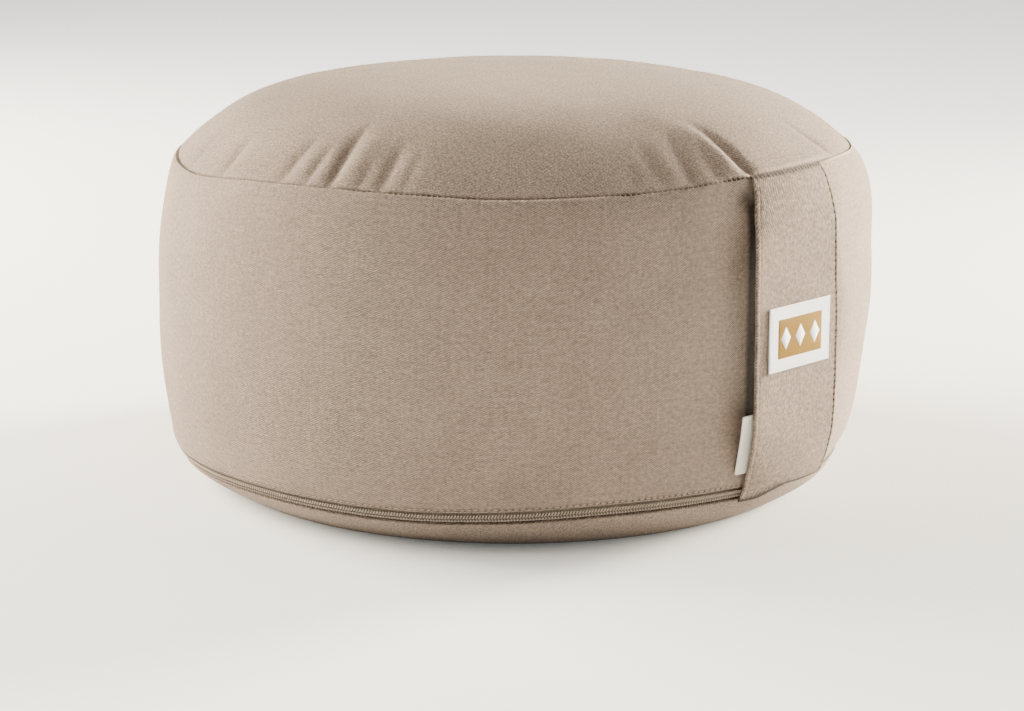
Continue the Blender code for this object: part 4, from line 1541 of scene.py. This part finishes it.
@dataclass
class CarryingStrap:
    """The doubled strip, stitched along both edges and caught in the top and the lower seam."""

    path: StrapPath
    cloth: TwillCloth
    thread: SewingThread
    start: float = 0.3  # runs below the top seam
    end: float = 149.6
    thickness: float = 2.0
    sewn_thickness: float = 0.8  # where a seam holds it
    sewn_length: float = 5.0
    edge_round: float = 1.0
    stitch_inset: float = 1.9
    seam_stitch: float = 2.5  # that of the seams that hold its ends
    twist: float = 1.5  # pitch of the rope-like painted highlight along the left edge
    stitch: Stitching = Stitching(pitch=3.0, length=2.0, radius=0.15, rise=-0.02)
    groove: Line = Line(0.42, 1.9, 0.35)
    pull: Line = Line(0.16, 1.9, 0.9)
    stitch_painted_shade: Line = Line(1.0, 1.9, 0.85)
    left_painted_highlight: Line = Line(1.0, 0.9, 0.6)
    right_painted_highlight: Line = Line(0.4, 1.0, 0.5)
    left_share: float = 0.3  # the stitches of the left edge sink in less than those of the right, and their painted shade is fainter
    top_painted_shade: Line = Line(1.5, 0.7, 0.8)
    end_painted_shade: float = 1.5
    end_shade_reach: Pairs = ((-19.0, -2.0), (1.9, 5.0))  # the painted shade along the lower end widens across: places, widths
    stations: int = 251
    edge_steps: Numbers = (0.0, 0.1, 0.3, 0.6, 1.0, 1.35, 1.65, 1.9, 2.15, 2.45, 2.9)
    column: float = 0.7  # between the columns inside its stitched lines
    inner_reach: float = 26.0  # how far in from an edge they go
    middle_inset: float = 28.0  # of the one column half-way across
    fold_over: float = 120.0  # how far off its back lies in the cloth's own coordinates

    def thickness_at(self, run: Array) -> Array:
        """The strap's thickness, drawn in at its two sewn ends."""
        free = smooth((run - self.start) / self.sewn_length) * smooth((self.end - run) / self.sewn_length)
        return self.sewn_thickness + (self.thickness - self.sewn_thickness) * free

    def face_off(self, run: Array, inset: Array, side: Array, front: bool) -> Array:
        """Distance of the front or the back from the strap's inner plane.

        Args:
            run: the run below the top seam.
            inset: the distance in from the nearer edge.
            side: -1 towards the left edge and 1 towards the right.
            front: whether it is the face that shows.

        Returns:
            Distances in millimetres.
        """
        full = self.thickness_at(run)
        left = 1.0 - np.clip(inset / self.edge_round, 0.0, 1.0)
        half = 0.5 * full * np.sqrt(np.clip(1.0 - left * left, 0.0, 1.0))
        dent = self.groove.over(inset) + pulse(run / self.stitch.pitch) * self.pull.over(inset)
        dent = dent * np.where(side < 0.0, self.left_share, 1.0)
        half = half - np.where(inset > 0.2, dent, 0.0) * full / self.thickness
        return 0.5 * full + (half if front else -half)

    def hollow(self, run: Array, inset: Array, side: Array, across: Array) -> Array:
        """The painted shade in a stitched line or at a sewn end, and the painted highlight on the edges'
        beads, from -1 to 1.

        Args:
            run: the run below the top seam.
            inset: the distance in from the nearer edge.
            side: -1 towards the left edge and 1 towards the right.
            across: the place's y.

        Returns:
            The painted shade or highlight at each place.
        """
        holes, teeth = pulse(run / self.stitch.pitch), pulse(across / self.seam_stitch)
        top = (0.35 + 0.65 * teeth) * self.top_painted_shade.over(run - self.start)
        reach = np.interp(across, *self.end_shade_reach) * (0.75 + 0.65 * teeth)
        ends = top + self.end_painted_shade * bell((self.end - run) / reach)
        line = (0.3 + 0.8 * holes) * self.stitch_painted_shade.over(inset)
        line = line * np.where(side < 0.0, 0.3 * self.left_share, 1.0)
        twist = 0.35 + 0.65 * np.cos(np.pi * run / self.twist) ** 2
        left, right = twist * self.left_painted_highlight.over(inset), (1.0 - holes) * self.right_painted_highlight.over(inset)
        bead = np.where(side < 0.0, left, right)
        return np.clip(line + ends - bead * (1.0 - np.clip(ends, 0.0, 1.0)), -1.0, 1.0)

    def build(self) -> list[bpy.types.Object]:
        """Makes and dresses the strap and its two lines of stitches.

        Returns:
            The strap and its stitches.
        """
        runs = np.linspace(self.start, self.end, self.stations)[:, None]
        centre, half = self.path.row(runs, "centre_y"), self.path.row(runs, "half_width")
        inner_steps = np.arange(self.edge_steps[-1] + self.column, self.inner_reach, self.column)
        steps = np.concatenate([self.edge_steps, inner_steps])
        insets = np.concatenate([steps, [self.middle_inset], steps[::-1]])
        sides = np.concatenate([-np.ones(len(steps)), [0.0], np.ones(len(steps))])
        across = centre + sides * (half - np.minimum(insets, half))
        wander = 0.12 * np.sin(runs * 0.21) + 0.08 * np.sin(runs * 0.57 + 1.3)  # a hand-guided edge
        across = across + wander * np.abs(sides)
        front = self.path.point(runs, across, self.face_off(runs, insets, sides, True))
        back_off = self.face_off(runs, insets[1:-1], sides[1:-1], False)
        back = self.path.point(runs, across[:, 1:-1], back_off)[:, ::-1]
        loop = np.concatenate([front, back], axis=1)
        hollow = self.hollow(runs, insets, sides, across)
        hollow = np.concatenate([hollow, hollow[:, 1:-1][:, ::-1]], axis=1)
        spread = np.concatenate([across, across[:, 1:-1][:, ::-1] + self.fold_over], axis=1)
        uvs = np.stack([spread, -runs + 0.0 * spread], axis=-1).reshape(-1, 2) * MM
        faces = lofted(self.stations, loop.shape[1], flipped=True)
        finish = self.cloth.material()
        strap = make_piece("carrying_strap", loop.reshape(-1, 3), faces, finish, uvs, hollow)
        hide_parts("handle_strap")
        return [strap, self.build_stitches()]

    def build_stitches(self) -> bpy.types.Object:
        """The topstitching along both edges of the face that shows.

        Returns:
            The stitches.
        """
        runs = np.linspace(self.start + 1.0, self.end - 1.0, 400)
        centre, half = self.path.row(runs, "centre_y"), self.path.row(runs, "half_width")
        lines = []
        for side in (-1.0, 1.0):
            across = centre + side * (half - self.stitch_inset)
            off = self.face_off(runs, np.full_like(runs, self.stitch_inset), np.full_like(runs, side), True)
            line = self.path.point(runs, across, off)
            outward = self.path.point(runs, across, off + 1.0) - line
            lines.append(self.stitch.along(line, outward))
        points, faces = joined(lines)
        return make_piece("strap_stitches", points, faces, self.thread.material())


@dataclass
class LabelPatch:
    """The flat woven patch on the strap, with a plain woven field and a row of lozenges on it."""

    path: StrapPath
    cloth: WovenSatin
    yarn: WovenSatin
    thread: SewingThread
    width: float = 43.2
    height: float = 29.6
    centre_y: float = -1.2
    centre_z: float = 92.4
    thickness: float = 0.8
    off: float = 2.3  # its back, from the strap's inner face
    edge_round: float = 0.35
    border: Line = Line(0.08, 1.1, 0.4)  # the groove that its stitches pull
    lozenges: int = 3
    lozenge: tuple[float, float] = (6.8, 10.4)
    field: tuple[float, float] = (31.0, 18.0)
    columns: int = 60
    rows: int = 42
    edge_steps: Numbers = (0.0, 0.08, 0.2, 0.35, 0.7, 1.1, 1.5)

    def place(self, x: Array, y: Array, off: Array) -> Array:
        """Points in metres at (x, y) from the label's middle, off its back."""
        run = self.path.seam_height - self.centre_z - np.asarray(y)
        return self.path.point(run, self.centre_y + np.asarray(x), self.off + np.asarray(off))

    def build(self) -> list[bpy.types.Object]:
        """Makes and dresses the patch, what is woven on it and the stitches round it.

        Returns:
            The patch, the field, the lozenges and the stitches.
        """
        xs, ys = self.spaced(self.width, self.columns), self.spaced(self.height, self.rows)
        grid_x, grid_y = np.meshgrid(xs, ys)
        inset = np.minimum(0.5 * self.width - np.abs(grid_x), 0.5 * self.height - np.abs(grid_y))
        left = 1.0 - np.clip(inset / self.edge_round, 0.0, 1.0)
        half = 0.5 * self.thickness * np.sqrt(1.0 - left * left) - self.border.over(inset)
        middle, half = 0.5 * self.thickness, np.maximum(half, 0.0)
        front, back = self.place(grid_x, grid_y, middle + half), self.place(grid_x, grid_y, middle - half)
        inner = np.zeros(grid_x.shape, bool)
        inner[1:-1, 1:-1] = True
        number = np.arange(grid_x.size).reshape(grid_x.shape)
        behind = np.where(inner, grid_x.size + np.cumsum(inner).reshape(grid_x.shape) - 1, number)
        faces = []
        for row in range(len(ys) - 1):
            for column in range(len(xs) - 1):
                spots = ((row, column), (row, column + 1), (row + 1, column + 1), (row + 1, column))
                faces.append([int(number[spot]) for spot in spots])
                faces.append([int(behind[spot]) for spot in spots[::-1]])
        points = np.concatenate([front.reshape(-1, 3), back[inner]])
        grid = np.stack([grid_x, grid_y], axis=-1) * MM
        uvs = np.concatenate([grid.reshape(-1, 2), grid[inner]])
        label = make_piece("woven_label", points, faces, self.cloth.material(), uvs)
        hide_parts("label_patch")
        return [label, *self.build_field(), self.build_stitches()]

    def spaced(self, size: float, count: int) -> Array:
        """Places across a side, closer at its two edges."""
        low = -0.5 * size + np.array(self.edge_steps)
        return np.concatenate([low, np.linspace(low[-1], -low[-1], count)[1:-1], -low[::-1]])

    def pad(self, corners: Sequence[tuple[float, float]], parts: int, lift: float) -> tuple[Array, Faces]:
        """A thin raised patch of yarn.

        Args:
            corners: (x, y) from the label's middle, anticlockwise.
            parts: how many parts a side is cut into.
            lift: how far it lies off the label's face.

        Returns:
            (vertices, faces).
        """
        outline = self.refined(corners, parts)
        middle = outline.mean(axis=0)
        rings = []
        for share, off in ((1.0, lift - 0.15), (1.0, lift + 0.06), (0.96, lift + 0.12)):
            ring = middle + (outline - middle) * share
            rings.append(self.place(ring[:, 0], ring[:, 1], np.full(len(ring), self.thickness + off)))
        return np.concatenate(rings), lofted(len(rings), len(outline))

    def build_field(self) -> list[bpy.types.Object]:
        """The woven field in yarn of another colour, and the row of pale lozenges on it.

        Returns:
            The field and the lozenges.
        """
        x, y = 0.5 * self.field[0], 0.5 * self.field[1]
        field = [self.pad(((x, -y), (x, y), (-x, y), (-x, -y)), 16, 0.0)]
        x, y = 0.5 * self.lozenge[0], 0.5 * self.lozenge[1]
        middles = [self.field[0] * ((i + 0.5) / self.lozenges - 0.5) for i in range(self.lozenges)]
        marks = [self.pad(((m + x, 0.0), (m, y), (m - x, 0.0), (m, -y)), 4, 0.12) for m in middles]
        made = []
        for name, parts, finish in (("label_field", field, self.yarn), ("label_lozenges", marks, self.cloth)):
            points, faces = joined(parts)
            made.append(make_piece(name, points, faces, finish.material(), points[:, 1:]))
        return made

    def refined(self, corners: Sequence[tuple[float, float]], parts: int) -> Array:
        """The outline with each side cut into parts.

        Args:
            corners: the outline's corners.
            parts: how many parts a side is cut into.

        Returns:
            The finer outline.
        """
        shares = np.arange(parts)[:, None] / parts
        after = np.roll(corners, -1, axis=0)
        return np.concatenate([a + (b - a) * shares for a, b in zip(np.array(corners), after)])

    def build_stitches(self) -> bpy.types.Object:
        """The fine stitches round the label's edge.

        Returns:
            The stitches.
        """
        fine = Stitching(pitch=1.9, length=1.4, radius=0.11, sink=0.12, rise=0.02)
        x, y = 0.5 * self.width - self.border.place, 0.5 * self.height - self.border.place
        corners = np.array([(-x, -y), (x, -y), (x, y), (-x, y)])
        lines = []
        for a, b in zip(corners, np.roll(corners, -1, axis=0)):
            spots = a + (b - a) * np.linspace(0.0, 1.0, 60)[:, None]
            off = np.full(len(spots), self.thickness - 0.08)
            line = self.place(spots[:, 0], spots[:, 1], off)
            lines.append(fine.along(line, self.place(spots[:, 0], spots[:, 1], off + 1.0) - line))
        points, faces = joined(lines)
        return make_piece("label_stitches", points, faces, self.thread.material())


@dataclass
class SideTag:
    """The bare ribbon, folded once and caught behind the strap's edge."""

    path: StrapPath
    ribbon: WovenSatin
    height: float = 29.5
    shown: float = 5.2
    hidden: float = 8.0
    centre_z: float = 44.6
    layer: float = 0.38  # the ribbon's thickness
    space: float = 1.0  # both layers and the air between them
    gap: float = 0.45  # to the strap's inner face
    straightness: float = 0.7  # 0 follows the strap's bend, 1 is straight
    stations: int = 40
    bends: int = 9  # points of the fold, and of each layer

    def build(self) -> list[bpy.types.Object]:
        """Makes and dresses the tag.

        Returns:
            The tag.
        """
        top = self.path.seam_height - self.centre_z - 0.5 * self.height
        runs = np.linspace(top, top + self.height, self.stations)[:, None]
        edge = self.path.row(runs, "centre_y") - self.path.row(runs, "half_width")
        outline, spread = self.fold_outline()
        across = edge - self.shown + outline[:, 0]
        loop = self.path.point(runs, across, -self.gap - self.space + outline[:, 1])
        share = np.linspace(0.0, 1.0, self.stations)[:, None, None]
        loop = loop + self.straightness * (loop[:1] * (1.0 - share) + loop[-1:] * share - loop)
        width = len(outline)
        uvs = np.stack([spread + 0.0 * runs, -runs + 0.0 * spread], axis=-1).reshape(-1, 2) * MM
        faces = lofted(self.stations, width, flipped=True)[:-2]
        for row, order in ((0, 1), (self.stations - 1, -1)):
            strips = ([k, k + 1, width - 2 - k, width - 1 - k] for k in range(width // 2 - 1))
            faces += [[row * width + k for k in strip][::order] for strip in strips]
        tag = make_piece("side_ribbon", loop.reshape(-1, 3), faces, self.ribbon.material(), uvs)
        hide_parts("side_tag")
        return [tag]

    def fold_outline(self) -> tuple[Array, Array]:
        """The section of the folded ribbon.

        Returns:
            (points of its outline, each point's place along the ribbon).
        """
        length = self.shown + self.hidden
        outer, inner = 0.5 * self.space, 0.5 * self.space - self.layer
        angles = np.linspace(-0.5 * np.pi, -1.5 * np.pi, self.bends)
        straight = np.linspace(length, outer, self.bends)[:-1]

        def side(radius: float, inset: float) -> list[tuple[float, float]]:
            """One side of the ribbon: in along the first layer, round the fold and out along the second."""
            turn = [(outer + radius * math.cos(a), outer + radius * math.sin(a)) for a in angles]
            return [(x, inset) for x in straight] + turn + [(x, self.space - inset) for x in straight[::-1]]

        outer_line, inner_line = side(outer, 0.0), side(inner, self.layer)
        outline = np.array(outer_line + inner_line[::-1])
        steps = np.linalg.norm(np.diff(np.array(outer_line), axis=0), axis=1)
        run = np.concatenate([[0.0], np.cumsum(steps)])
        return outline, np.concatenate([run, run[::-1]])


# ---------------------------------------------------------------- the zip
class CoilRow(NamedTuple):
    """One row of the zip's coil."""

    middle: float  # as a share of the channel's height
    half_height: float
    half_depth: float
    wire: float  # its radius
    lean: float  # how far the front strands lean, its sign being their direction


@dataclass
class Zip:
    """The closed zip in the lower seam: two rows of coil on their tapes, and the stitched lip above."""

    shape: CushionShape
    nylon: CoilNylon
    tape: ZipTapeCloth
    thread: SewingThread
    start: float = -171.0
    end: float = -6.0
    edges: Pairs = ((0.125, 0.495), (0.505, 0.875))  # of the two tapes, as shares of the channel's height
    tape_floor: float = -2.1
    tape_face: float = -1.3
    pitch: float = 1.4
    coil_depth: float = -0.42
    rows: tuple[CoilRow, ...] = (
        CoilRow(0.66, 0.95, 0.42, 0.27, 0.30),
        CoilRow(0.34, 0.55, 0.34, 0.20, -0.20),
    )
    points_a_turn: int = 10
    wire_sides: int = 5
    tape_stations: int = 330
    lip_stations: int = 1400

    def path(self, bearing: Array, along: Array, depth: Array) -> Array:
        """Points in metres in the channel."""
        radius, height = self.shape.channel(bearing, along, depth)
        return polar(bearing, radius, height)

    def coil(self, row: CoilRow) -> tuple[Array, Faces, Array]:
        """One row of the coil as a flattened helix.

        Args:
            row: its measures.

        Returns:
            (vertices, faces, the painted shade of each vertex from 0 to 1).
        """
        arc = math.radians(self.end - self.start) * self.shape.lower_radius
        turns = round(arc / self.pitch)
        t = np.arange(turns * self.points_a_turn + 1) / self.points_a_turn
        angle = 2.0 * np.pi * t
        swing = np.degrees(row.lean * np.sin(angle) / self.shape.lower_radius)
        bearing = self.start + (self.end - self.start) * t / turns + swing
        along = row.middle + row.half_height * np.sin(angle) / self.shape.channel_drop
        line = self.path(bearing, along, self.coil_depth + row.half_depth * np.cos(angle))
        facing = np.stack([-np.sin(np.radians(bearing)), np.cos(np.radians(bearing)), 0.0 * bearing], axis=-1)
        points, faces = tubes(line[None], np.full(len(t), row.wire * MM), self.wire_sides, facing[None])
        # painted shade on the back half of each turn and at its top and bottom
        deep = np.clip(np.maximum(0.85 * np.sin(angle) ** 4, -1.6 * np.cos(angle)), 0.0, 1.0)
        return points, faces, np.repeat(deep, self.wire_sides)

    def build(self) -> list[bpy.types.Object]:
        """Makes and dresses the coil, the tapes and the stitches of the lip.

        Returns:
            The coil, the tapes and the stitches.
        """
        rows = [self.coil(row) for row in self.rows]
        points, faces = joined([row[:2] for row in rows])
        deep = np.concatenate([row[2] for row in rows])
        finish = self.nylon.material()
        coil = make_piece("zip_coil_rows", points, faces, finish, hollow=deep)
        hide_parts("zip_coil")
        return [coil, self.build_tapes(), self.build_lip_stitches()]

    def build_tapes(self) -> bpy.types.Object:
        """The two woven tapes, edge to edge under the coil.

        Returns:
            The tapes.
        """
        bearings = np.linspace(self.start, self.end, self.tape_stations)
        run = np.radians(bearings) * self.shape.lower_radius
        strips, uvs = [], []
        for low, high in self.edges:
            floor, face = self.tape_floor, self.tape_face
            section = ((low, floor), (low, face), (high, face), (high, floor))
            points = np.stack([self.path(bearings, along, depth) for along, depth in section], axis=1)
            strips.append((points.reshape(-1, 3), lofted(len(bearings), len(section))))
            uvs += [(place, along * self.shape.channel_drop) for place in run for along, _ in section]
        points, faces = joined(strips)
        tapes = make_piece("zip_tapes", points, faces, self.tape.material(), np.array(uvs) * MM)
        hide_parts("zip_tape")
        return tapes

    def build_lip_stitches(self) -> bpy.types.Object:
        """The line of stitches that holds the band's folded lip.

        Returns:
            The stitches.
        """
        stitch = Stitching(pitch=3.0, length=2.2, radius=0.2, sink=0.3, rise=-0.16)
        bearing = np.linspace(self.start - 1.0, self.end + 1.0, self.lip_stations)
        span = self.shape.top_height - self.shape.lower_height
        radius, height = self.shape.band(bearing, HEM_LINE / span)
        points, faces = stitch.along(polar(bearing, radius, height), polar(bearing, 1.0, -0.1))
        return make_piece("lip_stitches", points, faces, self.thread.material())


# ---------------------------------------------------------------- the studio
class Lamp(NamedTuple):
    """A soft square light, placed from the cushion as the camera sees it, in metres."""

    name: str
    swing: float  # degrees to the right of the camera
    distance: float
    up: float
    size: float
    power: float
    colour: tuple[float, float, float] = (1.0, 0.95, 0.85)
    spread: float = 180.0  # degrees that its grid lets through


@dataclass
class Studio:
    """The pale floor, the soft lights and the camera at the photograph's angle."""

    paper: StudioPaper
    azimuth: float = 44.7
    elevation: float = 12.268
    distance_m: float = 1.2374
    aim_height_m: float = 0.0825
    focal_pixels: float = 2465.66
    frame_pixels: tuple[int, int] = (1024, 711)
    aim_pixel: tuple[float, float] = (513.31, 294.90)
    sensor_mm: float = 36.0
    floor_reach_m: float = 7.0
    floor_depth_m: float = 0.0003
    sky: float = 0.0  # strength of the world's own light
    back_colour: ClassVar[tuple[float, float, float]] = (1.0, 0.905, 0.72)
    lamps: tuple[Lamp, ...] = (
        Lamp("left_back_softbox", -115.0, 1.6, 0.75, 1.0, 169.0, back_colour),
        Lamp("left_softbox", -85.0, 1.6, 0.75, 1.0, 48.0),
        Lamp("right_back_softbox", 115.0, 1.6, 0.75, 1.0, 18.0, back_colour),
        Lamp("right_softbox", 87.0, 1.6, 0.65, 1.0, 33.0),
        Lamp("low_right_softbox", 120.0, 2.1, 0.40, 0.6, 49.0, back_colour, 60.0),
        Lamp("front_softbox", 0.0, 1.15, 1.5, 1.2, 7.5),
    )

    def directions(self) -> tuple[Vector, Vector]:
        """The camera's own level directions.

        Returns:
            (to the camera's right, from the cushion to the camera), both level.
        """
        angle = math.radians(self.azimuth)
        near = Vector((math.sin(angle), -math.cos(angle), 0.0))
        return Vector((math.cos(angle), math.sin(angle), 0.0)), near

    def build(self) -> None:
        """Makes the floor, the world, the lights and the camera."""
        self.build_floor()
        self.build_world()
        right, near = self.directions()
        aim = Vector((0.0, 0.0, self.aim_height_m))
        for lamp in self.lamps:
            data = bpy.data.lights.new(lamp.name, "AREA")
            data.shape = "SQUARE"
            data.size = lamp.size
            data.energy = lamp.power
            data.color = lamp.colour
            data.spread = math.radians(lamp.spread)
            made = bpy.data.objects.new(lamp.name, data)
            swing = math.radians(lamp.swing)
            made.location = (right * math.sin(swing) + near * math.cos(swing)) * lamp.distance
            made.location.z = lamp.up
            made.visible_camera = False
            made.rotation_euler = (aim - made.location).to_track_quat("-Z", "Y").to_euler()
            bpy.context.scene.collection.objects.link(made)
        self.build_camera(near, aim)

    def build_camera(self, near: Vector, aim: Vector) -> None:
        """The camera, aimed at the cushion's middle and shifted to the photograph's framing.

        Args:
            near: the level direction from the cushion to the camera.
            aim: the point that it looks at.
        """
        data = bpy.data.cameras.new("camera")
        wide, tall = self.frame_pixels
        data.sensor_width = self.sensor_mm
        data.lens = self.focal_pixels * self.sensor_mm / wide
        data.shift_x = (0.5 * wide - self.aim_pixel[0]) / wide
        data.shift_y = (self.aim_pixel[1] - 0.5 * tall) / wide
        data.clip_start = 0.01
        camera = bpy.data.objects.new("camera", data)
        level = math.cos(math.radians(self.elevation)) * self.distance_m
        rise = math.sin(math.radians(self.elevation)) * self.distance_m
        camera.location = aim + near * level + Vector((0.0, 0.0, rise))
        camera.rotation_euler = (aim - camera.location).to_track_quat("-Z", "Y").to_euler()
        bpy.context.scene.collection.objects.link(camera)
        bpy.context.scene.camera = camera

    def build_floor(self) -> None:
        """A wide pale floor, a hair under the cushion."""
        data = bpy.data.meshes.new("studio_floor")
        r, z = self.floor_reach_m, -self.floor_depth_m
        data.from_pydata([(-r, -r, z), (r, -r, z), (r, r, z), (-r, r, z)], [], [(0, 1, 2, 3)])
        data.materials.append(self.paper.material())
        floor = bpy.data.objects.new("studio_floor", data)
        bpy.context.scene.collection.objects.link(floor)

    def build_world(self) -> None:
        """A world without light of its own: the lamps and the paper light the cushion."""
        world = bpy.data.worlds.new("studio_sky")
        world.use_nodes = True
        background = world.node_tree.nodes["Background"]
        background.inputs["Strength"].default_value = self.sky
        bpy.context.scene.world = world


def main() -> None:
    """Builds every sub-assembly in order and reports its pieces."""
    logging.basicConfig(level=logging.INFO, format="%(name)s: %(message)s")
    seam_thread = SewingThread("seam_thread", (0.38, 0.29, 0.22))
    strap_twill = TwillCloth(
        "strap_twill", (0.280, 0.213, 0.167), Grain.ALONG, warp_pitch=0.38, weft_pitch=0.43,
        crevice=0.42, float_tint=0.26, slub=0.30,
    )
    satin = WovenSatin("label_satin", (0.90, 0.87, 0.90))
    yarn = WovenSatin("border_yarn", (0.235, 0.130, 0.010), gloss=0.05)
    tape = ZipTapeCloth("tape_cloth", (0.26, 0.21, 0.17))
    shape = CushionShape()
    path = StrapPath(shape)
    assemblies = (
        Cover(shape, TwillCloth("cover_twill", (0.303, 0.231, 0.182)), seam_thread),
        CarryingStrap(path, strap_twill, SewingThread("strap_thread", (0.41, 0.31, 0.22))),
        LabelPatch(path, satin, yarn, SewingThread("label_thread", (0.70, 0.67, 0.70))),
        SideTag(path, WovenSatin("ribbon_satin", (0.98, 0.905, 0.81))),
        Zip(shape, CoilNylon("coil_nylon", (0.46, 0.365, 0.285)), tape, seam_thread),
    )
    for assembly in assemblies:
        for piece in assembly.build():
            LOG.info("%s: %d faces in %s", piece.name, len(piece.data.polygons), type(assembly).__name__)
    Studio(StudioPaper("floor_paper", (0.86, 0.86, 0.86))).build()


if __name__ == "__main__":
    main()
